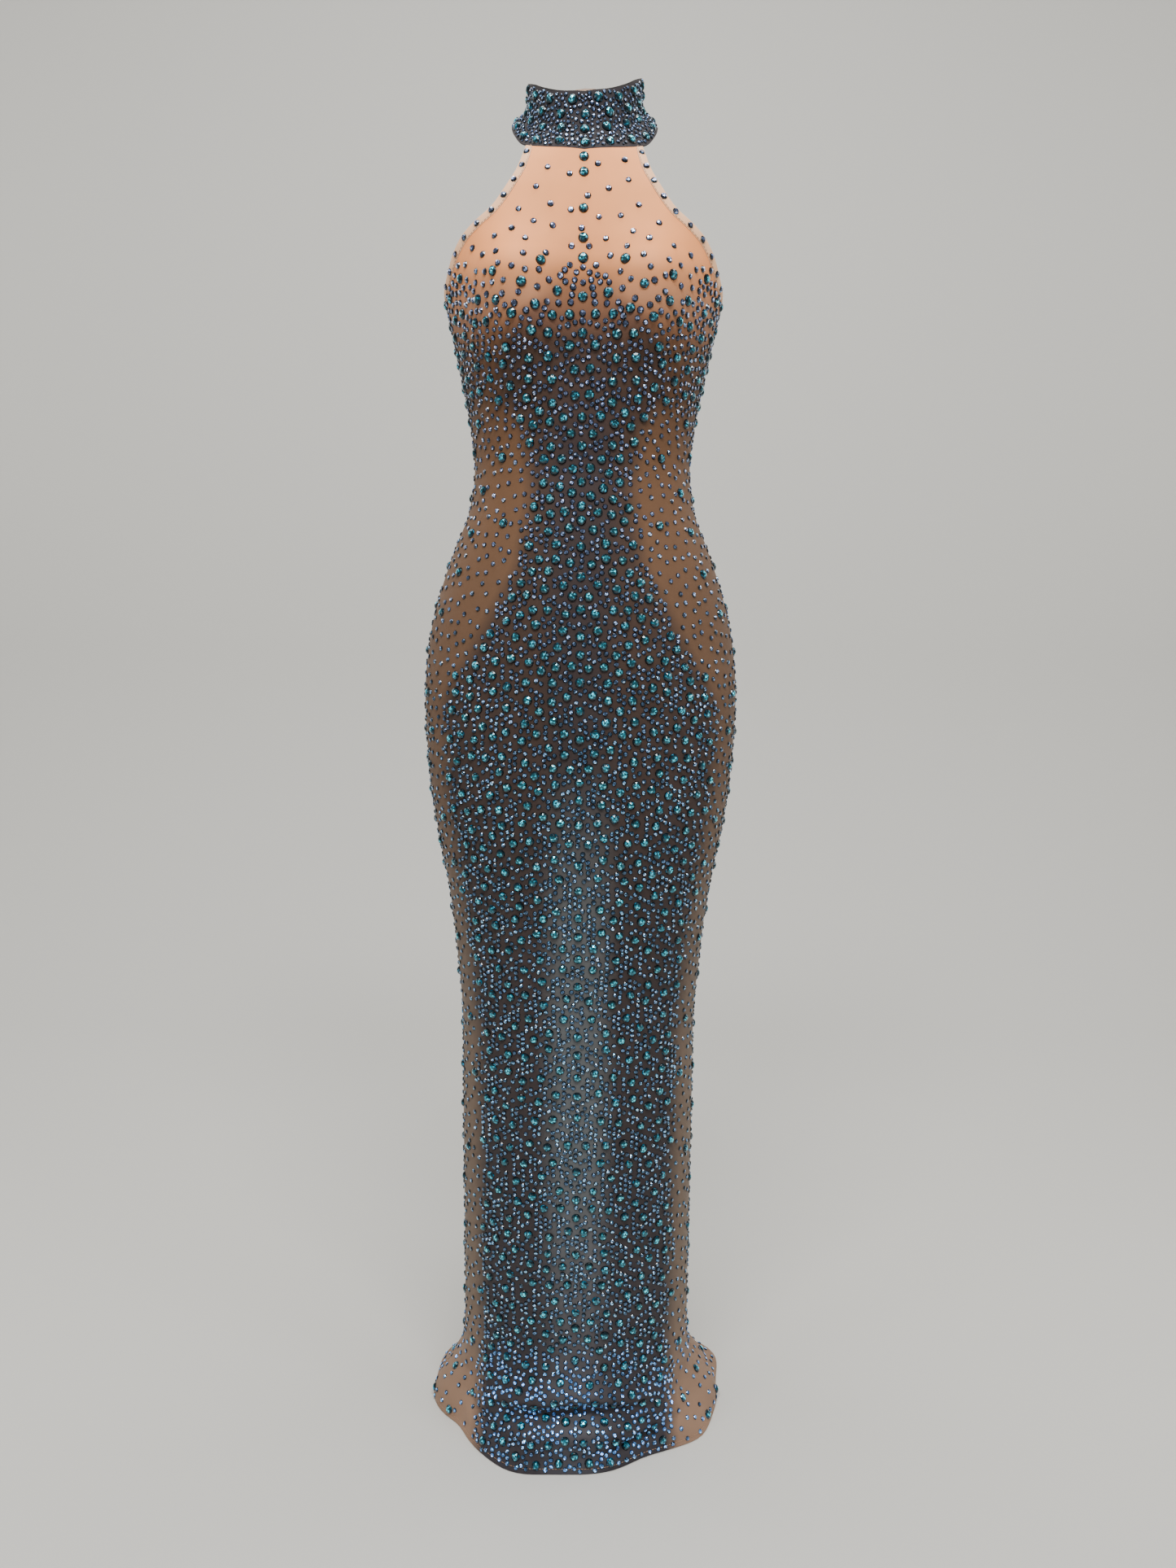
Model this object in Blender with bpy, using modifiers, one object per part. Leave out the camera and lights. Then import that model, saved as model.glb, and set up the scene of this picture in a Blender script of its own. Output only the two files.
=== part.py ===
"""A floor-length halter evening gown in stretch mesh, with a stand collar and a centre back zip.

Metres, +Z up. The front of the gown faces -Y and the origin is the centre of the neck.
Heights in the tables are above the floor that the hem reaches. A turn is the angle round
the gown: 0 at the centre front, 90 degrees at the left side seam (+X), 180 at the centre back.
"""

import math
from collections import namedtuple

import bmesh
import bpy
import numpy as np
from mathutils import Matrix, Vector

# Driving sizes
NECK_HEIGHT = 1.405
SEAM_GAP = 0.0003
PANEL_THICKNESS = 0.0015
COLLAR_THICKNESS = 0.0020
BINDING_THICKNESS = 0.0021
BINDING_WIDTH = 0.009
BINDING_PROUD = 0.0003
BUST_POINT = 0.078
CUP_RADIUS = 0.046
CUP_SIDE_FADE = 4
COLLAR_LEAN = 0.003

# How finely the panels are divided
FRONT_COLUMNS = 22
BACK_COLUMNS = FRONT_COLUMNS // 2
COLLAR_COLUMNS = 44
COLLAR_ROWS = 5
HALTER_ROWS = 13
TORSO_ROWS = 15
TORSO_ROWS_CROWD = 1.25
SKIRT_ROWS = 8
HEM_ROWS = 18
CURVE_SAMPLES = 160
SMALL_STEP = 0.0005
WELD_DISTANCE = 1e-6

# Where the parts of a panel meet, as heights
NECK_SEAM_HEIGHT = 1.380
SKIRT_TOP_HEIGHT = 0.700
HEM_TOP_HEIGHT = 0.120
NECK_SHAPE_FADES_OVER = 0.110

# The centre back zip
ZIP_BOTTOM_HEIGHT = 0.930
ZIP_HALF_OPENING = 0.0035
TAPE_HALF_WIDTH = 0.011
TAPE_THICKNESS = 0.0012
TAPE_COLUMNS = 4
SLIDER_SHARE = 0.84
SLIDER_SIZE = (0.0062, 0.0026, 0.0085)
SLIDER_BEVEL = 0.0005
BRIDGE_WIDTH = 0.0016
BRIDGE_HEIGHT = 0.0025
BRIDGE_HALF_LENGTH = 0.0027
BRIDGE_BAR = 0.0009
TAB_THICKNESS = 0.0009
TAB_HALF_WIDTH = 0.0021
TAB_WINDOW_HALF_WIDTH = 0.0011
TAB_WINDOW_LENGTH = 0.0046
TAB_LENGTH = 0.0150
TAB_END_POINTS = 9

ACROSS = Vector((1, 0, 0))
BACK = Vector((0, 1, 0))
UP = Vector((0, 0, 1))

Section = namedtuple("Section", "height half_width front back squareness cup")
SECTIONS = (
    Section(0.000, 0.170, 0.146, 0.106, 2.05, 0.000),
    Section(0.023, 0.163, 0.137, 0.104, 2.1, 0.000),
    Section(0.038, 0.151, 0.130, 0.102, 2.2, 0.000),
    Section(0.055, 0.140, 0.121, 0.099, 2.3, 0.000),
    Section(0.085, 0.135, 0.111, 0.096, 2.4, 0.000),
    Section(0.130, 0.134, 0.104, 0.094, 2.4, 0.000),
    Section(0.220, 0.1335, 0.100, 0.094, 2.4, 0.000),
    Section(0.350, 0.1335, 0.098, 0.097, 2.4, 0.000),
    Section(0.480, 0.1325, 0.101, 0.099, 2.4, 0.000),
    Section(0.560, 0.1380, 0.104, 0.101, 2.35, 0.000),
    Section(0.635, 0.1460, 0.107, 0.105, 2.3, 0.000),
    Section(0.710, 0.1595, 0.110, 0.112, 2.25, 0.000),
    Section(0.785, 0.1680, 0.111, 0.121, 2.2, 0.000),
    Section(0.850, 0.1702, 0.110, 0.126, 2.2, 0.000),
    Section(0.910, 0.1645, 0.108, 0.121, 2.2, 0.000),
    Section(0.960, 0.1525, 0.105, 0.110, 2.2, 0.000),
    Section(1.010, 0.1345, 0.099, 0.095, 2.2, 0.000),
    Section(1.050, 0.1190, 0.094, 0.085, 2.2, 0.000),
    Section(1.090, 0.1138, 0.089, 0.080, 2.2, 0.000),
    Section(1.130, 0.1170, 0.089, 0.083, 2.2, 0.003),
    Section(1.180, 0.1262, 0.092, 0.091, 2.2, 0.014),
    Section(1.225, 0.1355, 0.095, 0.100, 2.2, 0.029),
    Section(1.262, 0.1435, 0.095, 0.105, 2.2, 0.028),
    Section(1.290, 0.1500, 0.092, 0.105, 2.2, 0.018),
    Section(1.315, 0.1540, 0.088, 0.101, 2.2, 0.008),
    Section(1.340, 0.1450, 0.083, 0.095, 2.2, 0.002),
    Section(1.362, 0.1090, 0.077, 0.084, 2.1, 0.000),
    Section(1.380, 0.0740, 0.072, 0.067, 2.0, 0.000),
)

Fold = namedtuple("Fold", "turn height depth span reach tilt")
FOLDS = (
    Fold(0, 0.075, 0.0060, 30, 0.011, 0.0000),
    Fold(2, 0.054, -0.0100, 25, 0.008, 0.0001),
    Fold(0, 0.036, 0.0060, 36, 0.009, 0.0001),
    Fold(32, 0.021, -0.0080, 20, 0.006, 0.0003),
    Fold(-46, 0.030, -0.0080, 14, 0.008, -0.0004),
    Fold(-62, 0.040, -0.0080, 7, 0.045, 0.0000),
    Fold(64, 0.035, -0.0070, 7, 0.040, 0.0000),
    Fold(-80, 0.020, 0.0060, 9, 0.030, 0.0000),
    Fold(80, 0.018, 0.0060, 9, 0.026, 0.0000),
    Fold(34, 0.000, -0.0090, 14, 0.032, 0.0000),
    Fold(62, 0.000, 0.0110, 10, 0.024, 0.0000),
    Fold(-26, 0.000, 0.0080, 13, 0.026, 0.0000),
    Fold(-58, 0.000, -0.0060, 12, 0.030, 0.0000),
    Fold(109, 0.000, 0.0240, 13, 0.012, 0.0000),
    Fold(-112, 0.000, 0.0150, 14, 0.010, 0.0000),
    Fold(-108, 0.030, -0.0090, 16, 0.013, 0.0000),
    Fold(172, 0.072, 0.0050, 26, 0.011, 0.0000),
    Fold(176, 0.050, -0.0080, 24, 0.008, 0.0001),
    Fold(186, 0.030, 0.0050, 30, 0.009, 0.0000),
    Fold(150, 0.020, -0.0060, 14, 0.008, 0.0002),
    Fold(-144, 0.026, -0.0060, 14, 0.008, 0.0002),
)

Neckline = namedtuple("Neckline", "turn seam_height top_height")
NECKLINE = (
    Neckline(0, 1.3800, 1.4370),
    Neckline(30, 1.3855, 1.4415),
    Neckline(55, 1.3950, 1.4530),
    Neckline(75, 1.4130, 1.4630),
    Neckline(90, 1.4270, 1.4700),
    Neckline(120, 1.4370, 1.4800),
    Neckline(180, 1.4410, 1.4870),
)

CollarSection = namedtuple("CollarSection", "share half_width front back")
COLLAR_SECTIONS = (
    CollarSection(0.00, 0.0740, 0.0720, 0.0670),
    CollarSection(0.20, 0.0660, 0.0665, 0.0635),
    CollarSection(0.42, 0.0580, 0.0620, 0.0610),
    CollarSection(0.70, 0.0572, 0.0590, 0.0600),
    CollarSection(1.00, 0.0573, 0.0575, 0.0600),
)

ArmholePoint = namedtuple("ArmholePoint", "height half_width")
ARMHOLE = (
    ArmholePoint(1.3800, 0.0567),
    ArmholePoint(1.3594, 0.0643),
    ArmholePoint(1.3374, 0.0780),
    ArmholePoint(1.3238, 0.0889),
    ArmholePoint(1.3113, 0.1067),
    ArmholePoint(1.3021, 0.1186),
    ArmholePoint(1.2893, 0.1286),
    ArmholePoint(1.2721, 0.1374),
    ArmholePoint(1.2645, 0.1420),
    ArmholePoint(1.2620, 0.1437),
)

Finish = namedtuple("Finish", "colour roughness metallic")
MESH_FINISH = Finish((0.55, 0.36, 0.26, 1), 0.70, 0.0)
BINDING_FINISH = Finish((0.66, 0.47, 0.34, 1), 0.75, 0.0)
COLLAR_FINISH = Finish((0.24, 0.34, 0.50, 1), 0.35, 0.2)
TAPE_FINISH = Finish((0.60, 0.42, 0.30, 1), 0.80, 0.0)
METAL_FINISH = Finish((0.62, 0.60, 0.58, 1), 0.30, 1.0)


def smooth_curve(places, values, wanted):
    """A smooth curve through a table's rows that never overshoots between them."""
    places = np.asarray(places, float)
    values = np.asarray(values, float)
    steps = np.diff(places)
    slopes = np.diff(values) / steps
    before, after = slopes[:-1], slopes[1:]
    weight_before = 2 * steps[1:] + steps[:-1]
    weight_after = steps[1:] + 2 * steps[:-1]
    turning = before * after <= 0
    before = np.where(turning, 1.0, before)
    after = np.where(turning, 1.0, after)
    inner = (weight_before + weight_after) / (weight_before / before + weight_after / after)
    tangents = np.concatenate([slopes[:1], np.where(turning, 0.0, inner), slopes[-1:]])
    index = np.clip(np.searchsorted(places, wanted, side="right") - 1, 0, len(steps) - 1)
    length = steps[index]
    part = (wanted - places[index]) / length
    rest = 1 - part
    return (
        values[index] * rest**2 * (1 + 2 * part)
        + values[index + 1] * part**2 * (1 + 2 * rest)
        + length * part * rest * (tangents[index] * rest - tangents[index + 1] * part)
    )


def column(table, place, name, wanted):
    """One named column of a table, read smoothly at the wanted places."""
    places = [getattr(row, place) for row in table]
    return smooth_curve(places, [getattr(row, name) for row in table], wanted)


def wrapped(degrees):
    """An angle brought to between -180 and 180 degrees."""
    return (degrees + 180) % 360 - 180


def neckline(name, turn):
    """A height of the collar's seam or top edge at a turn, the same on the left and the right."""
    return column(NECKLINE, "turn", name, np.abs(wrapped(np.degrees(turn))))


def oval_radius(turn, half_width, front, back, squareness):
    """How far an oval's edge is from its centre, in the direction of a turn."""
    depth = np.where(np.cos(turn) > 0, front, back)
    across = np.abs(np.sin(turn)) / half_width
    ahead = np.abs(np.cos(turn)) / depth
    return (across**squareness + ahead**squareness) ** (-1 / squareness)


def fold_depth(height, turn):
    """How far the folds near the hem move the cloth outwards."""
    moved = np.zeros(np.broadcast(height, turn).shape)
    for fold in FOLDS:
        away = wrapped(np.degrees(turn) - fold.turn)
        rise = (height - fold.height - fold.tilt * away) / fold.reach
        moved = moved + fold.depth * np.exp(-(rise**2) - (away / fold.span) ** 2)
    return moved


def cup_depth(height, x, half_width):
    """How far the bust shaping moves the front forwards, nothing at the side seams."""
    left = np.exp(-(((x - BUST_POINT) / CUP_RADIUS) ** 2))
    right = np.exp(-(((x + BUST_POINT) / CUP_RADIUS) ** 2))
    to_side = 1 - np.clip(np.abs(x) / half_width, 0, 1) ** CUP_SIDE_FADE
    return column(SECTIONS, "height", "cup", height) * (left + right) * to_side


def body_surface(height, turn):
    """Points on the outer face of the panels."""
    height, turn = np.broadcast_arrays(np.asarray(height, float), np.asarray(turn, float))
    size = {name: column(SECTIONS, "height", name, height) for name in Section._fields[1:5]}
    radius = oval_radius(turn, **size) + fold_depth(height, turn)
    x = radius * np.sin(turn)
    y = -radius * np.cos(turn)
    y = y - np.where(np.cos(turn) > 0, cup_depth(height, x, size["half_width"]), 0)
    into_neck = np.clip((height - NECK_SEAM_HEIGHT) / NECK_SHAPE_FADES_OVER + 1, 0, 1)
    rise = (neckline("seam_height", turn) - NECK_SEAM_HEIGHT) * into_neck**2
    return np.stack([x, y, height + rise - NECK_HEIGHT], axis=-1)


def collar_surface(share, turn):
    """Points on the outer face of the collar, share 0 at its seam and 1 at its top edge."""
    share, turn = np.broadcast_arrays(np.asarray(share, float), np.asarray(turn, float))
    size = {name: column(COLLAR_SECTIONS, "share", name, share) for name in CollarSection._fields[1:]}
    radius = oval_radius(turn, squareness=2.0, **size)
    low = neckline("seam_height", turn) + SEAM_GAP
    top = neckline("top_height", turn) + COLLAR_LEAN * np.sin(turn)
    height = low + (top - low) * share
    return np.stack([radius * np.sin(turn), -radius * np.cos(turn), height - NECK_HEIGHT], axis=-1)


def facing_out(surface, along, turn):
    """The direction straight out of a surface at each point."""
    up = surface(along + SMALL_STEP, turn) - surface(along - SMALL_STEP, turn)
    round_it = surface(along, turn + SMALL_STEP) - surface(along, turn - SMALL_STEP)
    out = np.cross(round_it, up)
    return out / np.linalg.norm(out, axis=-1, keepdims=True)


def layer(surface, along, turn, inset):
    """A surface's points moved straight in by an inset, or out where it is negative."""
    return surface(along, turn) - facing_out(surface, along, turn) * inset


def distance_along(points):
    """How far each point is from the first, measured along the line through them."""
    return np.concatenate([[0.0], np.cumsum(np.linalg.norm(np.diff(points, axis=0), axis=1))])


def even_turns(surface, along, turns, columns, trims):
    """Turns that divide one row of a surface evenly, short of its ends by the two trims."""
    dense = np.linspace(turns[0], turns[1], CURVE_SAMPLES)
    distance = distance_along(surface(along, dense))
    wanted = np.linspace(trims[0], distance[-1] - trims[1], columns + 1)
    return np.interp(wanted, distance, dense)


def edge_turn(height, half_width, front):
    """The turn at which a row of the body reaches a half width, on its front or its back."""
    size = {name: column(SECTIONS, "height", name, height) for name in Section._fields[1:5]}
    share = np.clip(half_width / size["half_width"], 0, 1)
    depth = size["front"] if front else size["back"]
    ahead = depth * (1 - share ** size["squareness"]) ** (1 / size["squareness"])
    turn = np.arctan2(share * size["half_width"], ahead)
    return turn if front else math.pi - turn


def armhole_edges(front):
    """Heights and turns of a left armhole's outer edge and of the binding's inner edge.

    Both run from the collar seam down to the side seam, on the front or the back.
    """
    table = np.array(ARMHOLE)
    places = distance_along(table)
    dense = np.linspace(0, places[-1], CURVE_SAMPLES)
    dense_height = smooth_curve(places, table[:, 0], dense)
    dense_turn = edge_turn(dense_height, smooth_curve(places, table[:, 1], dense), front)
    distance = distance_along(body_surface(dense_height, dense_turn))
    wanted = np.linspace(0, distance[-1], HALTER_ROWS + 1)
    height = np.interp(wanted, distance, dense_height)
    turn = np.interp(wanted, distance, dense_turn)
    edge = body_surface(height, turn)
    tangent = np.gradient(edge, axis=0)
    inward = np.cross(tangent, facing_out(body_surface, height, turn))
    inward = inward / np.linalg.norm(inward, axis=-1, keepdims=True)
    if not front:
        inward = -inward
    up = (body_surface(height + SMALL_STEP, turn) - edge) / SMALL_STEP
    round_it = (body_surface(height, turn + SMALL_STEP) - edge) / SMALL_STEP
    inner_height = height + BINDING_WIDTH * (inward * up).sum(-1) / (up**2).sum(-1)
    inner_turn = turn + BINDING_WIDTH * (inward * round_it).sum(-1) / (round_it**2).sum(-1)
    inner_height[0] = height[0]
    inner_height[-1] = height[-1] - BINDING_WIDTH
    inner_turn[-1] = turn[-1]
    return (height, turn), (inner_height, inner_turn)


def panel_rows(front):
    """Heights and side turns of a panel's rows, from the hem up to the collar seam."""
    _, (halter_height, halter_turn) = armhole_edges(front)
    hem = np.linspace(PANEL_THICKNESS, HEM_TOP_HEIGHT, HEM_ROWS + 1)
    skirt = np.linspace(HEM_TOP_HEIGHT, SKIRT_TOP_HEIGHT, SKIRT_ROWS + 1)[1:]
    to_armhole = np.linspace(1, 0, TORSO_ROWS + 1)[1:-1] ** TORSO_ROWS_CROWD
    torso = halter_height[-1] - (halter_height[-1] - SKIRT_TOP_HEIGHT) * to_armhole
    below = np.concatenate([hem, skirt, torso])
    heights = np.concatenate([below, halter_height[::-1]])
    turns = np.concatenate([np.full(len(below), math.pi / 2), halter_turn[::-1]])
    return heights, turns


def new_material(name, finish):
    """A plain surface for one piece."""
    material = bpy.data.materials.new(name)
    material.use_nodes = True
    shader = material.node_tree.nodes["Principled BSDF"]
    shader.inputs["Base Color"].default_value = finish.colour
    shader.inputs["Roughness"].default_value = finish.roughness
    shader.inputs["Metallic"].default_value = finish.metallic
    return material


def add_piece(collection, name, mesh, finish):
    """Puts a finished mesh in the gown as a named piece with its own material."""
    piece = bpy.data.objects.new(name, mesh)
    mesh.materials.append(new_material(name, finish))
    collection.objects.link(piece)
    return piece


def wall_mesh(name, outside, inside):
    """One closed body of cloth between a grid of outside points and a grid of inside points."""
    rows, columns = outside.shape[0] - 1, outside.shape[1] - 1
    cloth = bmesh.new()
    outer = [[cloth.verts.new(point) for point in row] for row in outside]
    inner = [[cloth.verts.new(point) for point in row] for row in inside]
    for i in range(rows):
        for j in range(columns):
            cloth.faces.new((outer[i][j], outer[i][j + 1], outer[i + 1][j + 1], outer[i + 1][j]))
            cloth.faces.new((inner[i][j], inner[i + 1][j], inner[i + 1][j + 1], inner[i][j + 1]))
    for i in range(rows):
        cloth.faces.new((outer[i][0], outer[i + 1][0], inner[i + 1][0], inner[i][0]))
        cloth.faces.new((outer[i][-1], inner[i][-1], inner[i + 1][-1], outer[i + 1][-1]))
    for j in range(columns):
        cloth.faces.new((outer[0][j], inner[0][j], inner[0][j + 1], outer[0][j + 1]))
        cloth.faces.new((outer[-1][j], outer[-1][j + 1], inner[-1][j + 1], inner[-1][j]))
    mesh = bpy.data.meshes.new(name)
    cloth.to_mesh(mesh)
    cloth.free()
    mesh.shade_smooth()
    mesh.set_sharp_from_angle(angle=math.radians(50))
    return mesh


def cloth_wall(name, surface, along, turns, thickness, inset=0.0):
    """A wall of cloth whose outside lies on a surface, or under it by an inset."""
    along = along[:, None]
    outside = layer(surface, along, turns, inset)
    inside = layer(surface, along, turns, inset + thickness)
    return wall_mesh(name, outside, inside)


def add_front_panel(collection):
    """The front, cut in one piece from the collar seam to the hem."""
    heights, side_turns = panel_rows(front=True)
    trims = (SEAM_GAP / 2, SEAM_GAP / 2)
    turns = np.array([
        even_turns(body_surface, height, (-side, side), FRONT_COLUMNS, trims)
        for height, side in zip(heights, side_turns)
    ])
    mesh = cloth_wall("front_panel", body_surface, heights, turns, PANEL_THICKNESS)
    add_piece(collection, "front_panel", mesh, MESH_FINISH)


def add_back_panels(collection):
    """The left and right backs, which meet below the zip and stand apart along it."""
    heights, side_turns = panel_rows(front=False)
    left_turns = []
    for height, side in zip(heights, side_turns):
        beside_zip = height > ZIP_BOTTOM_HEIGHT
        trims = (SEAM_GAP / 2, ZIP_HALF_OPENING if beside_zip else SEAM_GAP / 2)
        left_turns.append(even_turns(body_surface, height, (side, math.pi), BACK_COLUMNS, trims))
    left_turns = np.array(left_turns)
    right_turns = (2 * math.pi - left_turns)[:, ::-1]
    for name, turns in (("back_panel_left", left_turns), ("back_panel_right", right_turns)):
        mesh = cloth_wall(name, body_surface, heights, turns, PANEL_THICKNESS)
        add_piece(collection, name, mesh, MESH_FINISH)


def add_armhole_bindings(collection):
    """The folded strips that edge the armholes, each in one length from collar to collar."""
    front_edge, front_inner = armhole_edges(front=True)
    back_edge, back_inner = armhole_edges(front=False)
    outline = [
        [np.concatenate([ahead[i], behind[i][-2::-1]]) for i in (0, 1)]
        for ahead, behind in ((front_inner, back_inner), (front_edge, back_edge))
    ]
    (inner_height, inner_turn), (edge_height, edge_turns) = outline
    start = body_surface(inner_height, inner_turn)
    width = np.linalg.norm(body_surface(edge_height, edge_turns) - start, axis=-1)
    away = SEAM_GAP / width
    inner_height = inner_height + (edge_height - inner_height) * away
    inner_turn = inner_turn + (edge_turns - inner_turn) * away
    heights = np.stack([inner_height, (inner_height + edge_height) / 2, edge_height])
    turns = np.stack([inner_turn, (inner_turn + edge_turns) / 2, edge_turns])
    heights[:, [0, -1]] -= SEAM_GAP * 2
    for name, sign in (("armhole_binding_left", 1), ("armhole_binding_right", -1)):
        outside = layer(body_surface, heights, sign * turns, -BINDING_PROUD)
        inside = layer(body_surface, heights, sign * turns, BINDING_THICKNESS - BINDING_PROUD)
        if sign < 0:
            outside, inside = outside[:, ::-1], inside[:, ::-1]
        add_piece(collection, name, wall_mesh(name, outside, inside), BINDING_FINISH)


def collar_shares():
    """The rows of the collar, from its seam to its top edge."""
    return np.linspace(0, 1, COLLAR_ROWS + 1)


def add_collar(collection):
    """The stand collar, open at the centre back by the width of the zip."""
    shares = collar_shares()
    trims = (ZIP_HALF_OPENING, ZIP_HALF_OPENING)
    turns = np.array([
        even_turns(collar_surface, share, (-math.pi, math.pi), COLLAR_COLUMNS, trims) for share in shares
    ])
    mesh = cloth_wall("collar_band", collar_surface, shares, turns, COLLAR_THICKNESS)
    add_piece(collection, "collar_band", mesh, COLLAR_FINISH)


def tape_grid(surface, along, inset):
    """A stretch of the zip tape under a surface, its rows across the centre back."""
    rows = []
    for place in along:
        reach = TAPE_HALF_WIDTH / np.linalg.norm(surface(place, math.pi)[:2])
        turns = np.linspace(math.pi - reach, math.pi + reach, TAPE_COLUMNS + 1)
        rows.append(layer(surface, place, turns, inset))
    return rows


def add_zip_tape(collection):
    """Both tapes and the closed coil as one strip, its rows level with those of what covers it."""
    panel_heights, _ = panel_rows(front=False)
    first_beside_zip = np.searchsorted(panel_heights, ZIP_BOTTOM_HEIGHT)
    heights = panel_heights[first_beside_zip - 1 :]
    shares = collar_shares()[1:]
    faces = []
    for inset in (COLLAR_THICKNESS + SEAM_GAP, COLLAR_THICKNESS + SEAM_GAP + TAPE_THICKNESS):
        body = tape_grid(body_surface, heights, inset)
        faces.append(np.array(body + tape_grid(collar_surface, shares, inset)))
    add_piece(collection, "zip_tape", wall_mesh("zip_tape", *faces), TAPE_FINISH)


def flat_outline(name, outline, holes, half_thickness):
    """A flat plate in the XY plane from an outline, with any holes cut through it."""
    curve = bpy.data.curves.new(name, "CURVE")
    curve.dimensions = "2D"
    curve.fill_mode = "BOTH"
    curve.extrude = half_thickness
    for ring in (outline, *holes):
        spline = curve.splines.new("POLY")
        spline.points.add(len(ring) - 1)
        for point, (x, y) in zip(spline.points, ring):
            point.co = (x, y, 0, 1)
        spline.use_cyclic_u = True
    return bpy.data.objects.new(name, curve)


def plate_mesh(name, outline, holes, half_thickness, right, up):
    """A flat plate as a welded mesh, its outline's X and Y turned to the two given directions."""
    plate = flat_outline(name, outline, holes, half_thickness)
    bpy.context.scene.collection.objects.link(plate)
    graph = bpy.context.evaluated_depsgraph_get()
    mesh = bpy.data.meshes.new_from_object(plate.evaluated_get(graph))
    curve = plate.data
    bpy.data.objects.remove(plate)
    bpy.data.curves.remove(curve)
    work = bmesh.new()
    work.from_mesh(mesh)
    bmesh.ops.remove_doubles(work, verts=work.verts, dist=WELD_DISTANCE)
    work.to_mesh(mesh)
    work.free()
    mesh.transform(Matrix((right, up, right.cross(up))).transposed().to_4x4())
    return mesh


def rectangle(x_low, x_high, y_low, y_high):
    """The four corners of a rectangle."""
    return [(x_low, y_low), (x_high, y_low), (x_high, y_high), (x_low, y_high)]


def slider_place():
    """The middle of the slider's outer face, on the centre back of the collar."""
    on_collar = Vector(collar_surface(SLIDER_SHARE, math.pi))
    seat = on_collar.y - COLLAR_THICKNESS - SEAM_GAP
    return Vector((0, seat + SEAM_GAP + SLIDER_SIZE[1], on_collar.z))


def hinge_place():
    """The middle of the pull tab's top bar, which turns under the slider's bridge."""
    drop = BRIDGE_HALF_LENGTH - BRIDGE_BAR - SEAM_GAP - TAB_THICKNESS / 2
    return slider_place() + Vector((0, SEAM_GAP + TAB_THICKNESS / 2, -drop))


def add_zip_slider(collection, cutters):
    """The slider, a small block on the tape with a bridge on its outer face for the pull tab."""
    face = slider_place()
    bpy.ops.mesh.primitive_cube_add(size=1)
    slider = bpy.context.object
    for vert in slider.data.vertices:
        vert.co = [size * part for size, part in zip(SLIDER_SIZE, vert.co)]
        vert.co.y -= SLIDER_SIZE[1] / 2
    slider.name = "zip_slider"
    slider.location = face
    for other in slider.users_collection:
        other.objects.unlink(slider)
    collection.objects.link(slider)
    slider.data.materials.append(new_material("zip_slider", METAL_FINISH))

    foot = -SLIDER_SIZE[1] / 3
    inner_length = BRIDGE_HALF_LENGTH - BRIDGE_BAR
    outline = rectangle(-BRIDGE_HALF_LENGTH, BRIDGE_HALF_LENGTH, foot, BRIDGE_HEIGHT)
    hole = rectangle(-inner_length, inner_length, foot / 2, BRIDGE_HEIGHT - BRIDGE_BAR)
    mesh = plate_mesh("slider_bridge", outline, [hole], BRIDGE_WIDTH / 2, UP, BACK)
    bridge = bpy.data.objects.new("slider_bridge", mesh)
    cutters.objects.link(bridge)
    bridge.location = face
    bridge.hide_render = True
    bridge.display_type = "WIRE"

    bevel = slider.modifiers.new("edges", "BEVEL")
    bevel.width = SLIDER_BEVEL
    bevel.segments = 1
    union = slider.modifiers.new("bridge", "BOOLEAN")
    union.operation = "UNION"
    union.object = bridge


def add_zip_pull_tab(collection):
    """The pull tab, a flat plate with a window that the slider's bridge passes through."""
    bar = TAB_THICKNESS / 2
    end = [
        (
            TAB_HALF_WIDTH * math.cos(angle),
            -TAB_LENGTH + TAB_HALF_WIDTH * (1 + math.sin(angle)),
        )
        for angle in np.linspace(math.pi, 2 * math.pi, TAB_END_POINTS)
    ]
    outline = [(TAB_HALF_WIDTH, bar), (-TAB_HALF_WIDTH, bar), *end]
    window = rectangle(-TAB_WINDOW_HALF_WIDTH, TAB_WINDOW_HALF_WIDTH, -TAB_WINDOW_LENGTH, -bar)
    mesh = plate_mesh("zip_pull_tab", outline, [window], TAB_THICKNESS / 2, ACROSS, UP)
    tab = add_piece(collection, "zip_pull_tab", mesh, METAL_FINISH)
    tab.location = hinge_place()


def main():
    """Builds the gown piece by piece."""
    for old in list(bpy.data.objects):
        bpy.data.objects.remove(old)
    gown = bpy.data.collections.new("evening_gown")
    cutters = bpy.data.collections.new("cutters")
    for collection in (gown, cutters):
        bpy.context.scene.collection.children.link(collection)
    add_collar(gown)
    add_front_panel(gown)
    add_back_panels(gown)
    add_armhole_bindings(gown)
    add_zip_tape(gown)
    add_zip_slider(gown, cutters)
    add_zip_pull_tab(gown)


main()
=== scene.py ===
"""The looks of a floor-length halter evening gown: sheer mesh, stand collar, bindings, zip and stones.

Metres, +Z up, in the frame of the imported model. The gown's front faces -Y and the origin is the
centre of the neck. Heights in the tables are above the floor that the hem reaches. A turn is the
angle round the gown: 0 at the centre front, 90 degrees at the left side seam (+X), 180 behind.
"""

import logging
import math
from collections.abc import Callable, Sequence
from dataclasses import dataclass, field, fields, replace
from enum import Enum
from typing import NamedTuple

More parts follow.
